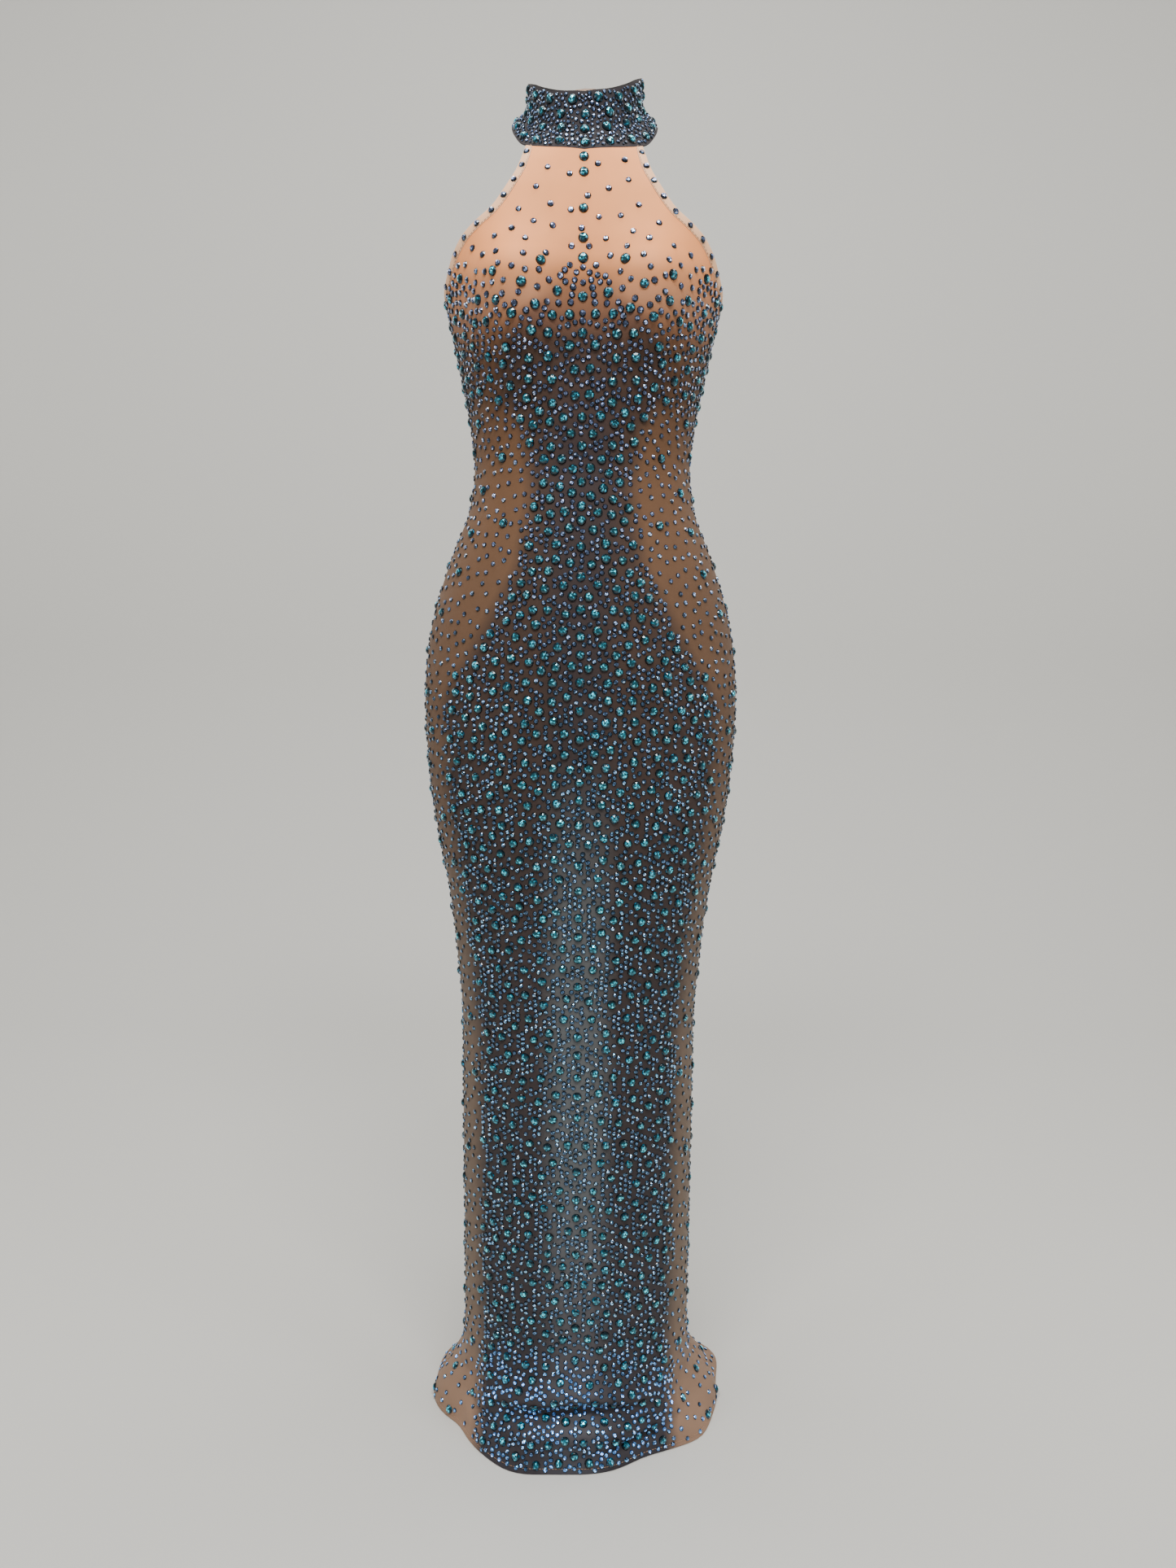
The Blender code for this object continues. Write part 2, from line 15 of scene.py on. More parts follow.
import bpy
import numpy as np
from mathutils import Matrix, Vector

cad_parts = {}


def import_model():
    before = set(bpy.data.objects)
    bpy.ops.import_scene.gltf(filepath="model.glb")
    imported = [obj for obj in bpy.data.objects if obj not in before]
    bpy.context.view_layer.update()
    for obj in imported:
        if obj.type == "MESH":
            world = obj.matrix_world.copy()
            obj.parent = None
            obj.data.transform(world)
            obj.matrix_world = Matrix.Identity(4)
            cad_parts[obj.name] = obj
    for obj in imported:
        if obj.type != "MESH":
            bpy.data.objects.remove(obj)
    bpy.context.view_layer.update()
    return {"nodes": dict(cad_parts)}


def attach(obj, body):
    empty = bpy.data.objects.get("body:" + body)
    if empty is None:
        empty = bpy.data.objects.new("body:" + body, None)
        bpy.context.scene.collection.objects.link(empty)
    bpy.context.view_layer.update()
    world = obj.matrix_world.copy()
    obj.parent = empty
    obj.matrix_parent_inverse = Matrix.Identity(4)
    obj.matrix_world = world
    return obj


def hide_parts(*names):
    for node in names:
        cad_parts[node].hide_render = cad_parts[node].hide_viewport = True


log = logging.getLogger("evening_gown")

NECK_HEIGHT = 1.405
SEAM_GAP = 0.0003
SMALL_STEP = 0.0005
CURVE_SAMPLES = 160
LARGER_BY = 1.2
SHARP_ANGLE = math.radians(50)
PALER_ABOVE = 1.1
PALEST_HEIGHT = 1.4
PANEL_SEED = 100
SEED_STEP = 10
YOKE_SEED = 50
LARGE_SEED = 100
COLLAR_SEEDS = (300, 305, 310)
BINDING_SEED = 320
GOWN_BODY = "gown"
WHITE = (1.0, 1.0, 1.0)
WARM_LIGHT = (1.0, 0.97, 0.92)
COOL_LIGHT = (0.96, 0.98, 1.0)

Array = np.ndarray
Surface = Callable[[Array, Array], Array]
Colour = tuple[float, float, float]
Place = tuple[float, float, float]
Ramp = tuple[tuple[float, Colour], ...]
Tree = bpy.types.NodeTree
Socket = bpy.types.NodeSocket
Material = bpy.types.Material
Spots = tuple[Array, Array, Array]


class Side(Enum):
    """The three cloth panels that a maker cuts for the gown's body."""

    FRONT = "front"
    BACK_LEFT = "back_left"
    BACK_RIGHT = "back_right"


PANEL_NODES = {
    Side.FRONT: "front_panel",
    Side.BACK_LEFT: "back_panel_left",
    Side.BACK_RIGHT: "back_panel_right",
}


class Section(NamedTuple):
    """One level cut through the gown, with how far the bust shaping stands out there."""

    height: float
    half_width: float
    front: float
    back: float
    squareness: float
    cup: float


class Fold(NamedTuple):
    """One fold near the hem: where it is, how far it stands out, and how far it spreads."""

    turn: float
    height: float
    depth: float
    span: float
    reach: float
    tilt: float = 0.0


class Neckline(NamedTuple):
    """Heights of the collar's seam and top edge at a turn."""

    turn: float
    seam_height: float
    top_height: float


class CollarSection(NamedTuple):
    """One level cut through the collar, share 0 at its seam and 1 at its top."""

    share: float
    half_width: float
    front: float
    back: float


class ArmholePoint(NamedTuple):
    """A point on the armhole's edge, seen from the front."""

    height: float
    half_width: float


class StoneZone(NamedTuple):
    """How closely stones are set at a height: in the middle, at the sides and at the outer edges."""

    height: float
    core_half_width: float
    edge_half_width: float
    core_gap: float
    side_gap: float
    core_large: float
    side_large: float


class Wave(NamedTuple):
    """One wave of the edge of the dense middle: how deep and how long it is, and where it starts."""

    depth: float
    length: float
    start: float


class Lamp(NamedTuple):
    """A soft rectangular light: its name, place, target, size in metres, power in watts and tint."""

    name: str
    place: Place
    target: Place
    size: tuple[float, float]
    power: float
    tint: Colour


class YokeStone(NamedTuple):
    """A large stone on the yoke: its height, and how far it is from the centre."""

    height: float
    aside: float


SECTIONS = (
    Section(0.000, 0.170, 0.146, 0.106, 2.05, 0.000),
    Section(0.023, 0.163, 0.137, 0.104, 2.1, 0.000),
    Section(0.038, 0.151, 0.130, 0.102, 2.2, 0.000),
    Section(0.055, 0.140, 0.121, 0.099, 2.3, 0.000),
    Section(0.085, 0.135, 0.111, 0.096, 2.4, 0.000),
    Section(0.130, 0.134, 0.104, 0.094, 2.4, 0.000),
    Section(0.220, 0.1335, 0.100, 0.094, 2.4, 0.000),
    Section(0.350, 0.1335, 0.098, 0.097, 2.4, 0.000),
    Section(0.480, 0.1325, 0.101, 0.099, 2.4, 0.000),
    Section(0.560, 0.1380, 0.104, 0.101, 2.35, 0.000),
    Section(0.635, 0.1460, 0.107, 0.105, 2.3, 0.000),
    Section(0.710, 0.1595, 0.110, 0.112, 2.25, 0.000),
    Section(0.785, 0.1680, 0.111, 0.121, 2.2, 0.000),
    Section(0.850, 0.1702, 0.110, 0.126, 2.2, 0.000),
    Section(0.910, 0.1645, 0.108, 0.121, 2.2, 0.000),
    Section(0.960, 0.1525, 0.105, 0.110, 2.2, 0.000),
    Section(1.010, 0.1345, 0.099, 0.095, 2.2, 0.000),
    Section(1.050, 0.1190, 0.094, 0.085, 2.2, 0.000),
    Section(1.090, 0.1138, 0.089, 0.080, 2.2, 0.000),
    Section(1.130, 0.1170, 0.089, 0.083, 2.2, 0.003),
    Section(1.180, 0.1262, 0.092, 0.091, 2.2, 0.014),
    Section(1.225, 0.1355, 0.095, 0.100, 2.2, 0.029),
    Section(1.262, 0.1435, 0.095, 0.105, 2.2, 0.028),
    Section(1.290, 0.1500, 0.092, 0.105, 2.2, 0.018),
    Section(1.315, 0.1540, 0.088, 0.101, 2.2, 0.008),
    Section(1.340, 0.1450, 0.083, 0.095, 2.2, 0.002),
    Section(1.362, 0.1090, 0.077, 0.084, 2.1, 0.000),
    Section(1.380, 0.0740, 0.072, 0.067, 2.0, 0.000),
)

FOLDS = (
    Fold(0, 0.075, 0.0060, 30, 0.011),
    Fold(2, 0.054, -0.0100, 25, 0.008, 0.0001),
    Fold(0, 0.036, 0.0060, 36, 0.009, 0.0001),
    Fold(32, 0.021, -0.0080, 20, 0.006, 0.0003),
    Fold(-46, 0.030, -0.0080, 14, 0.008, -0.0004),
    Fold(-62, 0.040, -0.0080, 7, 0.045),
    Fold(64, 0.035, -0.0070, 7, 0.040),
    Fold(-80, 0.020, 0.0060, 9, 0.030),
    Fold(80, 0.018, 0.0060, 9, 0.026),
    Fold(34, 0.000, -0.0090, 14, 0.032),
    Fold(62, 0.000, 0.0110, 10, 0.024),
    Fold(-26, 0.000, 0.0080, 13, 0.026),
    Fold(-58, 0.000, -0.0060, 12, 0.030),
    Fold(109, 0.000, 0.0240, 13, 0.012),
    Fold(-112, 0.000, 0.0150, 14, 0.010),
    Fold(-108, 0.030, -0.0090, 16, 0.013),
    Fold(172, 0.072, 0.0050, 26, 0.011),
    Fold(176, 0.050, -0.0080, 24, 0.008, 0.0001),
    Fold(186, 0.030, 0.0050, 30, 0.009),
    Fold(150, 0.020, -0.0060, 14, 0.008, 0.0002),
    Fold(-144, 0.026, -0.0060, 14, 0.008, 0.0002),
)

FINE_CREASES = (
    Fold(-24, 0.064, 0.0052, 22, 0.007, 0.0003),
    Fold(26, 0.067, 0.0048, 20, 0.007, -0.0003),
    Fold(-22, 0.044, -0.0062, 20, 0.006, 0.0004),
    Fold(27, 0.043, -0.0062, 18, 0.006, -0.0004),
    Fold(-20, 0.088, -0.0026, 16, 0.005, 0.0002),
    Fold(24, 0.096, -0.0022, 14, 0.004, -0.0002),
    Fold(-34, 0.064, 0.0018, 12, 0.005, 0.0003),
    Fold(38, 0.047, 0.0018, 13, 0.005, 0.0002),
    Fold(-12, 0.013, -0.0018, 18, 0.004, 0.0002),
    Fold(14, 0.008, 0.0012, 15, 0.004, -0.0001),
    Fold(-74, 0.052, -0.0020, 8, 0.006, 0.0006),
    Fold(78, 0.056, -0.0020, 8, 0.006, -0.0006),
    Fold(-96, 0.040, 0.0020, 9, 0.007, 0.0003),
    Fold(100, 0.036, 0.0018, 9, 0.007, -0.0004),
    Fold(130, 0.060, -0.0020, 14, 0.006, 0.0002),
    Fold(-128, 0.066, -0.0018, 13, 0.006, -0.0002),
    Fold(166, 0.014, 0.0016, 16, 0.005, 0.0001),
    Fold(-170, 0.090, -0.0014, 15, 0.005, 0.0002),
)

NECKLINE = (
    Neckline(0, 1.3800, 1.4370),
    Neckline(30, 1.3855, 1.4415),
    Neckline(55, 1.3950, 1.4530),
    Neckline(75, 1.4130, 1.4630),
    Neckline(90, 1.4270, 1.4700),
    Neckline(120, 1.4370, 1.4800),
    Neckline(180, 1.4410, 1.4870),
)

COLLAR_SECTIONS = (
    CollarSection(0.00, 0.0740, 0.0720, 0.0670),
    CollarSection(0.20, 0.0660, 0.0665, 0.0635),
    CollarSection(0.42, 0.0580, 0.0620, 0.0610),
    CollarSection(0.70, 0.0572, 0.0590, 0.0600),
    CollarSection(1.00, 0.0573, 0.0575, 0.0600),
)

ARMHOLE = (
    ArmholePoint(1.3800, 0.0567),
    ArmholePoint(1.3594, 0.0643),
    ArmholePoint(1.3374, 0.0780),
    ArmholePoint(1.3238, 0.0889),
    ArmholePoint(1.3113, 0.1067),
    ArmholePoint(1.3021, 0.1186),
    ArmholePoint(1.2893, 0.1286),
    ArmholePoint(1.2721, 0.1374),
    ArmholePoint(1.2645, 0.1420),
    ArmholePoint(1.2620, 0.1437),
)

STONE_ZONES = (
    StoneZone(0.000, 0.112, 0.400, 0.0003, 0.0069, 0.0180, 0.040),
    StoneZone(0.120, 0.108, 0.400, 0.0003, 0.0052, 0.0185, 0.045),
    StoneZone(0.480, 0.108, 0.400, 0.0003, 0.0044, 0.0185, 0.044),
    StoneZone(0.620, 0.120, 0.400, 0.0003, 0.0038, 0.0180, 0.038),
    StoneZone(0.760, 0.140, 0.400, 0.0005, 0.0028, 0.0165, 0.030),
    StoneZone(0.850, 0.142, 0.400, 0.0005, 0.0034, 0.0158, 0.036),
    StoneZone(0.890, 0.118, 0.400, 0.0005, 0.0042, 0.0154, 0.046),
    StoneZone(0.945, 0.088, 0.400, 0.0004, 0.0046, 0.0147, 0.044),
    StoneZone(0.990, 0.062, 0.400, 0.0003, 0.0044, 0.0140, 0.042),
    StoneZone(1.060, 0.050, 0.400, 0.0003, 0.0038, 0.0134, 0.040),
    StoneZone(1.120, 0.058, 0.400, 0.0003, 0.0022, 0.0142, 0.032),
    StoneZone(1.155, 0.082, 0.104, 0.0003, 0.0005, 0.0150, 0.021),
    StoneZone(1.195, 0.078, 0.096, 0.0003, 0.0006, 0.0152, 0.019),
    StoneZone(1.225, 0.056, 0.088, 0.0012, 0.0018, 0.0165, 0.020),
    StoneZone(1.250, 0.024, 0.098, 0.0024, 0.0042, 0.0200, 0.025),
    StoneZone(1.270, 0.010, 0.112, 0.0046, 0.0066, 0.0300, 0.034),
    StoneZone(1.300, 0.000, 0.130, 0.0115, 0.0115, 0.4000, 0.400),
    StoneZone(1.345, 0.000, 0.400, 0.0135, 0.0135, 0.4000, 0.400),
    StoneZone(1.380, 0.000, 0.400, 0.0140, 0.0140, 0.4000, 0.400),
)

EDGE_WAVES = (Wave(0.0028, 0.0310, 0.0), Wave(0.0020, 0.0117, 1.0))

LAMPS = (
    Lamp("ceiling_front", (0.0, -1.3, 1.5), (0.0, 0.0, -0.3), (1.8, 0.3), 70, WARM_LIGHT),
    Lamp("ceiling_above", (0.0, 0.0, 1.9), (0.0, 0.0, -1.0), (2.2, 0.8), 40, WARM_LIGHT),
    Lamp("fill_left", (-2.4, -1.6, 0.2), (0.0, 0.0, -0.7), (0.6, 2.0), 9, COOL_LIGHT),
    Lamp("fill_right", (2.4, -1.4, 0.3), (0.0, 0.0, -0.7), (0.6, 2.0), 12, COOL_LIGHT),
    Lamp("fill_back_left", (-2.6, 1.2, 0.6), (0.0, 0.0, -0.6), (1.0, 1.6), 11, WARM_LIGHT),
    Lamp("fill_back_right", (2.6, 1.2, 0.6), (0.0, 0.0, -0.6), (1.0, 1.6), 11, WARM_LIGHT),
)

YOKE_STONES = (
    YokeStone(1.3730, 0.0),
    YokeStone(1.3580, 0.0),
    YokeStone(1.3230, 0.0),
    YokeStone(1.2950, 0.0),
    YokeStone(1.2760, 0.0),
    YokeStone(1.2735, 0.041),
    YokeStone(1.2715, -0.041),
)


def smooth_curve(places: Array, values: Array, wanted: Array) -> Array:
    """A smooth curve through a table's rows that never overshoots between them.

    Args:
        places: where the rows are, in rising order.
        values: what the rows hold.
        wanted: where the curve is read.

    Returns:
        The curve's values at the wanted places.
    """
    steps = np.diff(places)
    slopes = np.diff(values) / steps
    before, after = slopes[:-1], slopes[1:]
    weight_before = 2 * steps[1:] + steps[:-1]
    weight_after = steps[1:] + 2 * steps[:-1]
    turning = before * after <= 0
    before = np.where(turning, 1.0, before)
    after = np.where(turning, 1.0, after)
    inner = (weight_before + weight_after) / (weight_before / before + weight_after / after)
    tangents = np.concatenate([slopes[:1], np.where(turning, 0.0, inner), slopes[-1:]])
    index = np.clip(np.searchsorted(places, wanted, side="right") - 1, 0, len(steps) - 1)
    length = steps[index]
    part = (wanted - places[index]) / length
    rest = 1 - part
    return (
        values[index] * rest**2 * (1 + 2 * part)
        + values[index + 1] * part**2 * (1 + 2 * rest)
        + length * part * rest * (tangents[index] * rest - tangents[index + 1] * part)
    )


def wrapped(degrees: Array) -> Array:
    """An angle brought to between -180 and 180 degrees."""
    return (degrees + 180) % 360 - 180


def distance_along(points: Array) -> Array:
    """How far each point is from the first, measured along the line through them."""
    return np.concatenate([[0.0], np.cumsum(np.linalg.norm(np.diff(points, axis=0), axis=1))])


@dataclass(frozen=True)
class GownShape:
    """The gown's outer surfaces, worked out from the tables of its sections, folds and edges."""

    sections: Array = field(default_factory=lambda: np.array(SECTIONS))
    folds: tuple[Fold, ...] = FOLDS + FINE_CREASES
    neckline: Array = field(default_factory=lambda: np.array(NECKLINE))
    collar_sections: Array = field(default_factory=lambda: np.array(COLLAR_SECTIONS))
    armhole: Array = field(default_factory=lambda: np.array(ARMHOLE))
    bust_point: float = 0.078
    cup_radius: float = 0.046
    cup_side_fade: float = 4
    neck_seam_height: float = 1.380
    neck_shape_fades_over: float = 0.110
    collar_lean: float = 0.003
    binding_width: float = 0.009

    def section(self, height: Array) -> list[Array]:
        """Half width, front, back, squareness and cup at a height."""
        return [smooth_curve(self.sections[:, 0], self.sections[:, i], height) for i in range(1, 6)]

    def neck_height(self, turn: Array, top: bool = False) -> Array:
        """Height of the collar's seam, or of its top edge, at a turn."""
        away = np.abs(wrapped(np.degrees(turn)))
        return smooth_curve(self.neckline[:, 0], self.neckline[:, 2 if top else 1], away)

    @staticmethod
    def oval_radius(turn: Array, half_width: Array, front: Array, back: Array, squareness: Array) -> Array:
        """How far an oval's edge is from its centre, in the direction of a turn."""
        depth = np.where(np.cos(turn) > 0, front, back)
        across = np.abs(np.sin(turn)) / half_width
        ahead = np.abs(np.cos(turn)) / depth
        return (across**squareness + ahead**squareness) ** (-1 / squareness)

    def fold_depth(self, height: Array, turn: Array) -> Array:
        """How far the folds near the hem move the cloth outwards.

        Args:
            height: heights above the floor.
            turn: the turn at each.

        Returns:
            The distances, negative where a fold dips.
        """
        moved = np.zeros(height.shape)
        low = height < self.folds[0].height * 2
        if not low.any():
            return moved
        level, angle = height[low], np.degrees(turn[low])
        total = np.zeros(level.shape)
        for fold in self.folds:
            away = wrapped(angle - fold.turn)
            rise = (level - fold.height - fold.tilt * away) / fold.reach
            total += fold.depth * np.exp(-(rise**2) - (away / fold.span) ** 2)
        moved[low] = total
        return moved

    def body(self, height: Array, turn: Array) -> Array:
        """Points on the outer face of the panels.

        Args:
            height: heights above the floor.
            turn: turns round the gown.

        Returns:
            The points, measured from the neck.
        """
        height, turn = np.broadcast_arrays(np.asarray(height, float), np.asarray(turn, float))
        half_width, front, back, squareness, cup = self.section(height)
        radius = self.oval_radius(turn, half_width, front, back, squareness) + self.fold_depth(height, turn)
        x = radius * np.sin(turn)
        y = -radius * np.cos(turn)
        left = np.exp(-(((x - self.bust_point) / self.cup_radius) ** 2))
        right = np.exp(-(((x + self.bust_point) / self.cup_radius) ** 2))
        to_side = 1 - np.clip(np.abs(x) / half_width, 0, 1) ** self.cup_side_fade
        y = y - np.where(np.cos(turn) > 0, cup * (left + right) * to_side, 0)
        into_neck = np.clip((height - self.neck_seam_height) / self.neck_shape_fades_over + 1, 0, 1)
        rise = (self.neck_height(turn) - self.neck_seam_height) * into_neck**2
        return np.stack([x, y, height + rise - NECK_HEIGHT], axis=-1)

    def collar(self, share: Array, turn: Array) -> Array:
        """Points on the outer face of the collar, share 0 at its seam and 1 at its top edge.

        Args:
            share: how far up the collar they are.
            turn: turns round it.

        Returns:
            The points, measured from the neck.
        """
        share, turn = np.broadcast_arrays(np.asarray(share, float), np.asarray(turn, float))
        table = self.collar_sections
        half_width, front, back = (smooth_curve(table[:, 0], table[:, i], share) for i in (1, 2, 3))
        radius = self.oval_radius(turn, half_width, front, back, np.full(share.shape, 2.0))
        low = self.neck_height(turn) + SEAM_GAP
        top = self.neck_height(turn, top=True) + self.collar_lean * np.sin(turn)
        height = low + (top - low) * share - NECK_HEIGHT
        return np.stack([radius * np.sin(turn), -radius * np.cos(turn), height], axis=-1)

    @staticmethod
    def facing(surface: Surface, along: Array, turn: Array) -> Array:
        """The direction straight out of a surface at each point."""
        up = surface(along + SMALL_STEP, turn) - surface(along - SMALL_STEP, turn)
        round_it = surface(along, turn + SMALL_STEP) - surface(along, turn - SMALL_STEP)
        out = np.cross(round_it, up)
        return out / np.linalg.norm(out, axis=-1, keepdims=True)

    def layer(self, surface: Surface, along: Array, turn: Array, inset: Array | float) -> Array:
        """A surface's points moved straight in by an inset, or out where it is negative."""
        inset = np.asarray(inset, float)
        if inset.ndim:
            inset = inset[..., None]
        return surface(along, turn) - self.facing(surface, along, turn) * inset

    def even_turns(
        self,
        surface: Surface,
        along: float,
        turns: tuple[float, float],
        columns: int,
        trims: tuple[float, float],
    ) -> Array:
        """Turns that divide one row of a surface evenly, short of its ends by the two trims.

        Args:
            surface: the body or the collar.
            along: the row's height or share.
            turns: where the row starts and stops.
            columns: how many parts it has.
            trims: how far short of its start and of its stop it stays.

        Returns:
            The turns.
        """
        dense = np.linspace(turns[0], turns[1], CURVE_SAMPLES)
        distance = distance_along(surface(np.full(dense.shape, along), dense))
        wanted = np.linspace(trims[0], distance[-1] - trims[1], columns + 1)
        return np.interp(wanted, distance, dense)

    def edge_turn(self, height: Array, half_width: Array, front: bool) -> Array:
        """The turn at which a row of the body reaches a half width, on its front or its back.

        Args:
            height: the row's height.
            half_width: the half width to reach.
            front: whether the front is meant, or the back.

        Returns:
            The turn on the left of the gown.
        """
        full_width, front_depth, back_depth, squareness, _ = self.section(height)
        share = np.clip(half_width / full_width, 0, 1)
        depth = front_depth if front else back_depth
        ahead = depth * (1 - share**squareness) ** (1 / squareness)
        turn = np.arctan2(share * full_width, ahead)
        return turn if front else math.pi - turn

    def armhole_edges(self, front: bool, rows: int) -> tuple[tuple[Array, Array], tuple[Array, Array]]:
        """Heights and turns of a left armhole's outer edge and of the binding's inner edge.

        Args:
            front: whether the front half of the armhole is wanted, or the back half.
            rows: how many parts each edge is divided into.

        Returns:
            The outer edge and the inner edge, each from the collar seam down to the side seam.
        """
        places = distance_along(self.armhole)
        dense = np.linspace(0, places[-1], CURVE_SAMPLES)
        dense_height = smooth_curve(places, self.armhole[:, 0], dense)
        half_width = smooth_curve(places, self.armhole[:, 1], dense)
        dense_turn = self.edge_turn(dense_height, half_width, front)
        distance = distance_along(self.body(dense_height, dense_turn))
        wanted = np.linspace(0, distance[-1], rows + 1)
        height = np.interp(wanted, distance, dense_height)
        turn = np.interp(wanted, distance, dense_turn)
        edge = self.body(height, turn)
        inward = np.cross(np.gradient(edge, axis=0), self.facing(self.body, height, turn))
        inward = inward / np.linalg.norm(inward, axis=-1, keepdims=True)
        if not front:
            inward = -inward
        up = (self.body(height + SMALL_STEP, turn) - edge) / SMALL_STEP
        round_it = (self.body(height, turn + SMALL_STEP) - edge) / SMALL_STEP
        inner_height = height + self.binding_width * (inward * up).sum(-1) / (up**2).sum(-1)
        inner_turn = turn + self.binding_width * (inward * round_it).sum(-1) / (round_it**2).sum(-1)
        inner_height[0] = height[0]
        inner_height[-1] = height[-1] - self.binding_width
        inner_turn[-1] = turn[-1]
        return (height, turn), (inner_height, inner_turn)


@dataclass(frozen=True)
class ClothFinish:
    """A cloth's colours by height, at its sides and down its centre, its alpha, and its knit."""

    name: str
    colours: Ramp
    knit_pitch: float
    mottle: float
    knit_depth: float = 0.3
    roughness: float = 0.75
    sheen: float = 0.08
    alpha: float = 1.0
    side_colours: Ramp = ()
    centre_colours: Ramp = ()


@dataclass(frozen=True)
class StoneFinish:
    """A foil-backed stone's colours from its rim to its table, dark to bright as painted shade and
    reflection, how two tints of it differ, and painted light on the skirt and at the hem.
    """

    name: str
    rim: Colour
    crown: Colour
    table: Colour
    other_tint: Colour
    tint_share: float
    low_light: Colour
    hem_light: Colour
    metallic: float
    roughness: float


@dataclass(frozen=True)
class MetalFinish:
    """A polished metal with fine brushing, darker in the brushing's low places as painted shade."""

    name: str
    colour: Colour
    roughness: float


# Colours of the sheer mesh by height: its nude tone with the mannequin's skin and the backdrop seen through
# it painted in. The fall from the bright yoke to the dark waist and hem, and the darker middle among the
# close-set stones, are partly painted shade.
CORE_MESH: Ramp = (
    (0.00, (0.044, 0.039, 0.046)),
    (0.70, (0.052, 0.037, 0.034)),
    (0.90, (0.066, 0.041, 0.032)),
    (1.10, (0.067, 0.040, 0.030)),
    (1.19, (0.072, 0.041, 0.030)),
    (1.23, (0.190, 0.092, 0.058)),
    (1.25, (0.470, 0.215, 0.112)),
    (1.27, (0.790, 0.325, 0.135)),
    (1.30, (1.000, 0.375, 0.130)),
)
SIDE_MESH: Ramp = (
    (0.00, (0.330, 0.205, 0.140)),
    (0.15, (0.180, 0.126, 0.090)),
    (0.60, (0.155, 0.108, 0.078)),
    (0.80, (0.150, 0.088, 0.055)),
    (1.10, (0.160, 0.082, 0.042)),
    (1.17, (0.120, 0.060, 0.033)),
    (1.20, (0.170, 0.080, 0.040)),
    (1.24, (0.480, 0.220, 0.115)),
    (1.285, (1.000, 0.375, 0.130)),
    (1.40, (1.000, 0.390, 0.140)),
)
CENTRE_MESH: Ramp = (
    (0.00, (0.060, 0.058, 0.070)),
    (0.12, (0.085, 0.080, 0.090)),
    (0.35, (0.130, 0.140, 0.150)),
    (0.62, (0.110, 0.115, 0.120)),
    (0.80, (0.048, 0.036, 0.036)),
    (1.10, (0.048, 0.033, 0.033)),
    (1.20, (0.075, 0.044, 0.034)),
    (1.25, (0.300, 0.130, 0.064)),
    (1.28, (0.900, 0.340, 0.120)),
    (1.30, (1.000, 0.375, 0.130)),
)
SHEER_MESH = ClothFinish(
    name="sheer_mesh",
    colours=CORE_MESH,
    side_colours=SIDE_MESH,
    centre_colours=CENTRE_MESH,
    alpha=0.93,
    roughness=0.55,
    sheen=0.02,
    knit_pitch=0.0012,
    knit_depth=0.15,
    mottle=0.10,
)


def plain_cloth(name: str, colour: Colour, knit_pitch: float, mottle: float) -> ClothFinish:
    """An opaque cloth of one colour, a little paler towards the neck."""
    paler = tuple(min(part * PALER_ABOVE, 1.0) for part in colour)
    return ClothFinish(name, ((0.0, colour), (PALEST_HEIGHT, paler)), knit_pitch, mottle)


BINDING_CLOTH = plain_cloth("binding_cloth", (0.86, 0.50, 0.29), 0.0009, 0.08)
COLLAR_CLOTH = plain_cloth("collar_cloth", (0.026, 0.022, 0.026), 0.0010, 0.15)
ZIP_CLOTH = plain_cloth("zip_cloth", (0.50, 0.29, 0.18), 0.0007, 0.06)
THREAD = plain_cloth("thread", (0.46, 0.27, 0.17), 0.0004, 0.05)
# Stone colours: the dark rim and bright table are painted shade and reflection; low_light and hem_light are
# painted light on the skirt and at the hem.
PERIWINKLE = StoneFinish(
    name="periwinkle_stone",
    rim=(0.003, 0.005, 0.012),
    crown=(0.030, 0.045, 0.104),
    table=(0.245, 0.32, 0.62),
    other_tint=(0.03, 0.075, 0.11),
    tint_share=0.50,
    low_light=(0.58, 0.96, 0.96),
    hem_light=(2.10, 4.20, 5.60),
    metallic=0.6,
    roughness=0.16,
)
COLLAR_BLUE = replace(
    PERIWINKLE,
    name="collar_blue_stone",
    crown=(0.020, 0.036, 0.090),
    table=(0.16, 0.25, 0.52),
)
TEAL = StoneFinish(
    name="teal_stone",
    rim=(0.001, 0.006, 0.009),
    crown=(0.002, 0.040, 0.055),
    table=(0.030, 0.310, 0.420),
    other_tint=(0.004, 0.08, 0.16),
    tint_share=0.35,
    low_light=(1.1, 1.3, 1.3),
    hem_light=(1.6, 1.9, 2.1),
    metallic=0.55,
    roughness=0.12,
)
NICKEL = MetalFinish(name="nickel", colour=(0.62, 0.60, 0.57), roughness=0.24)


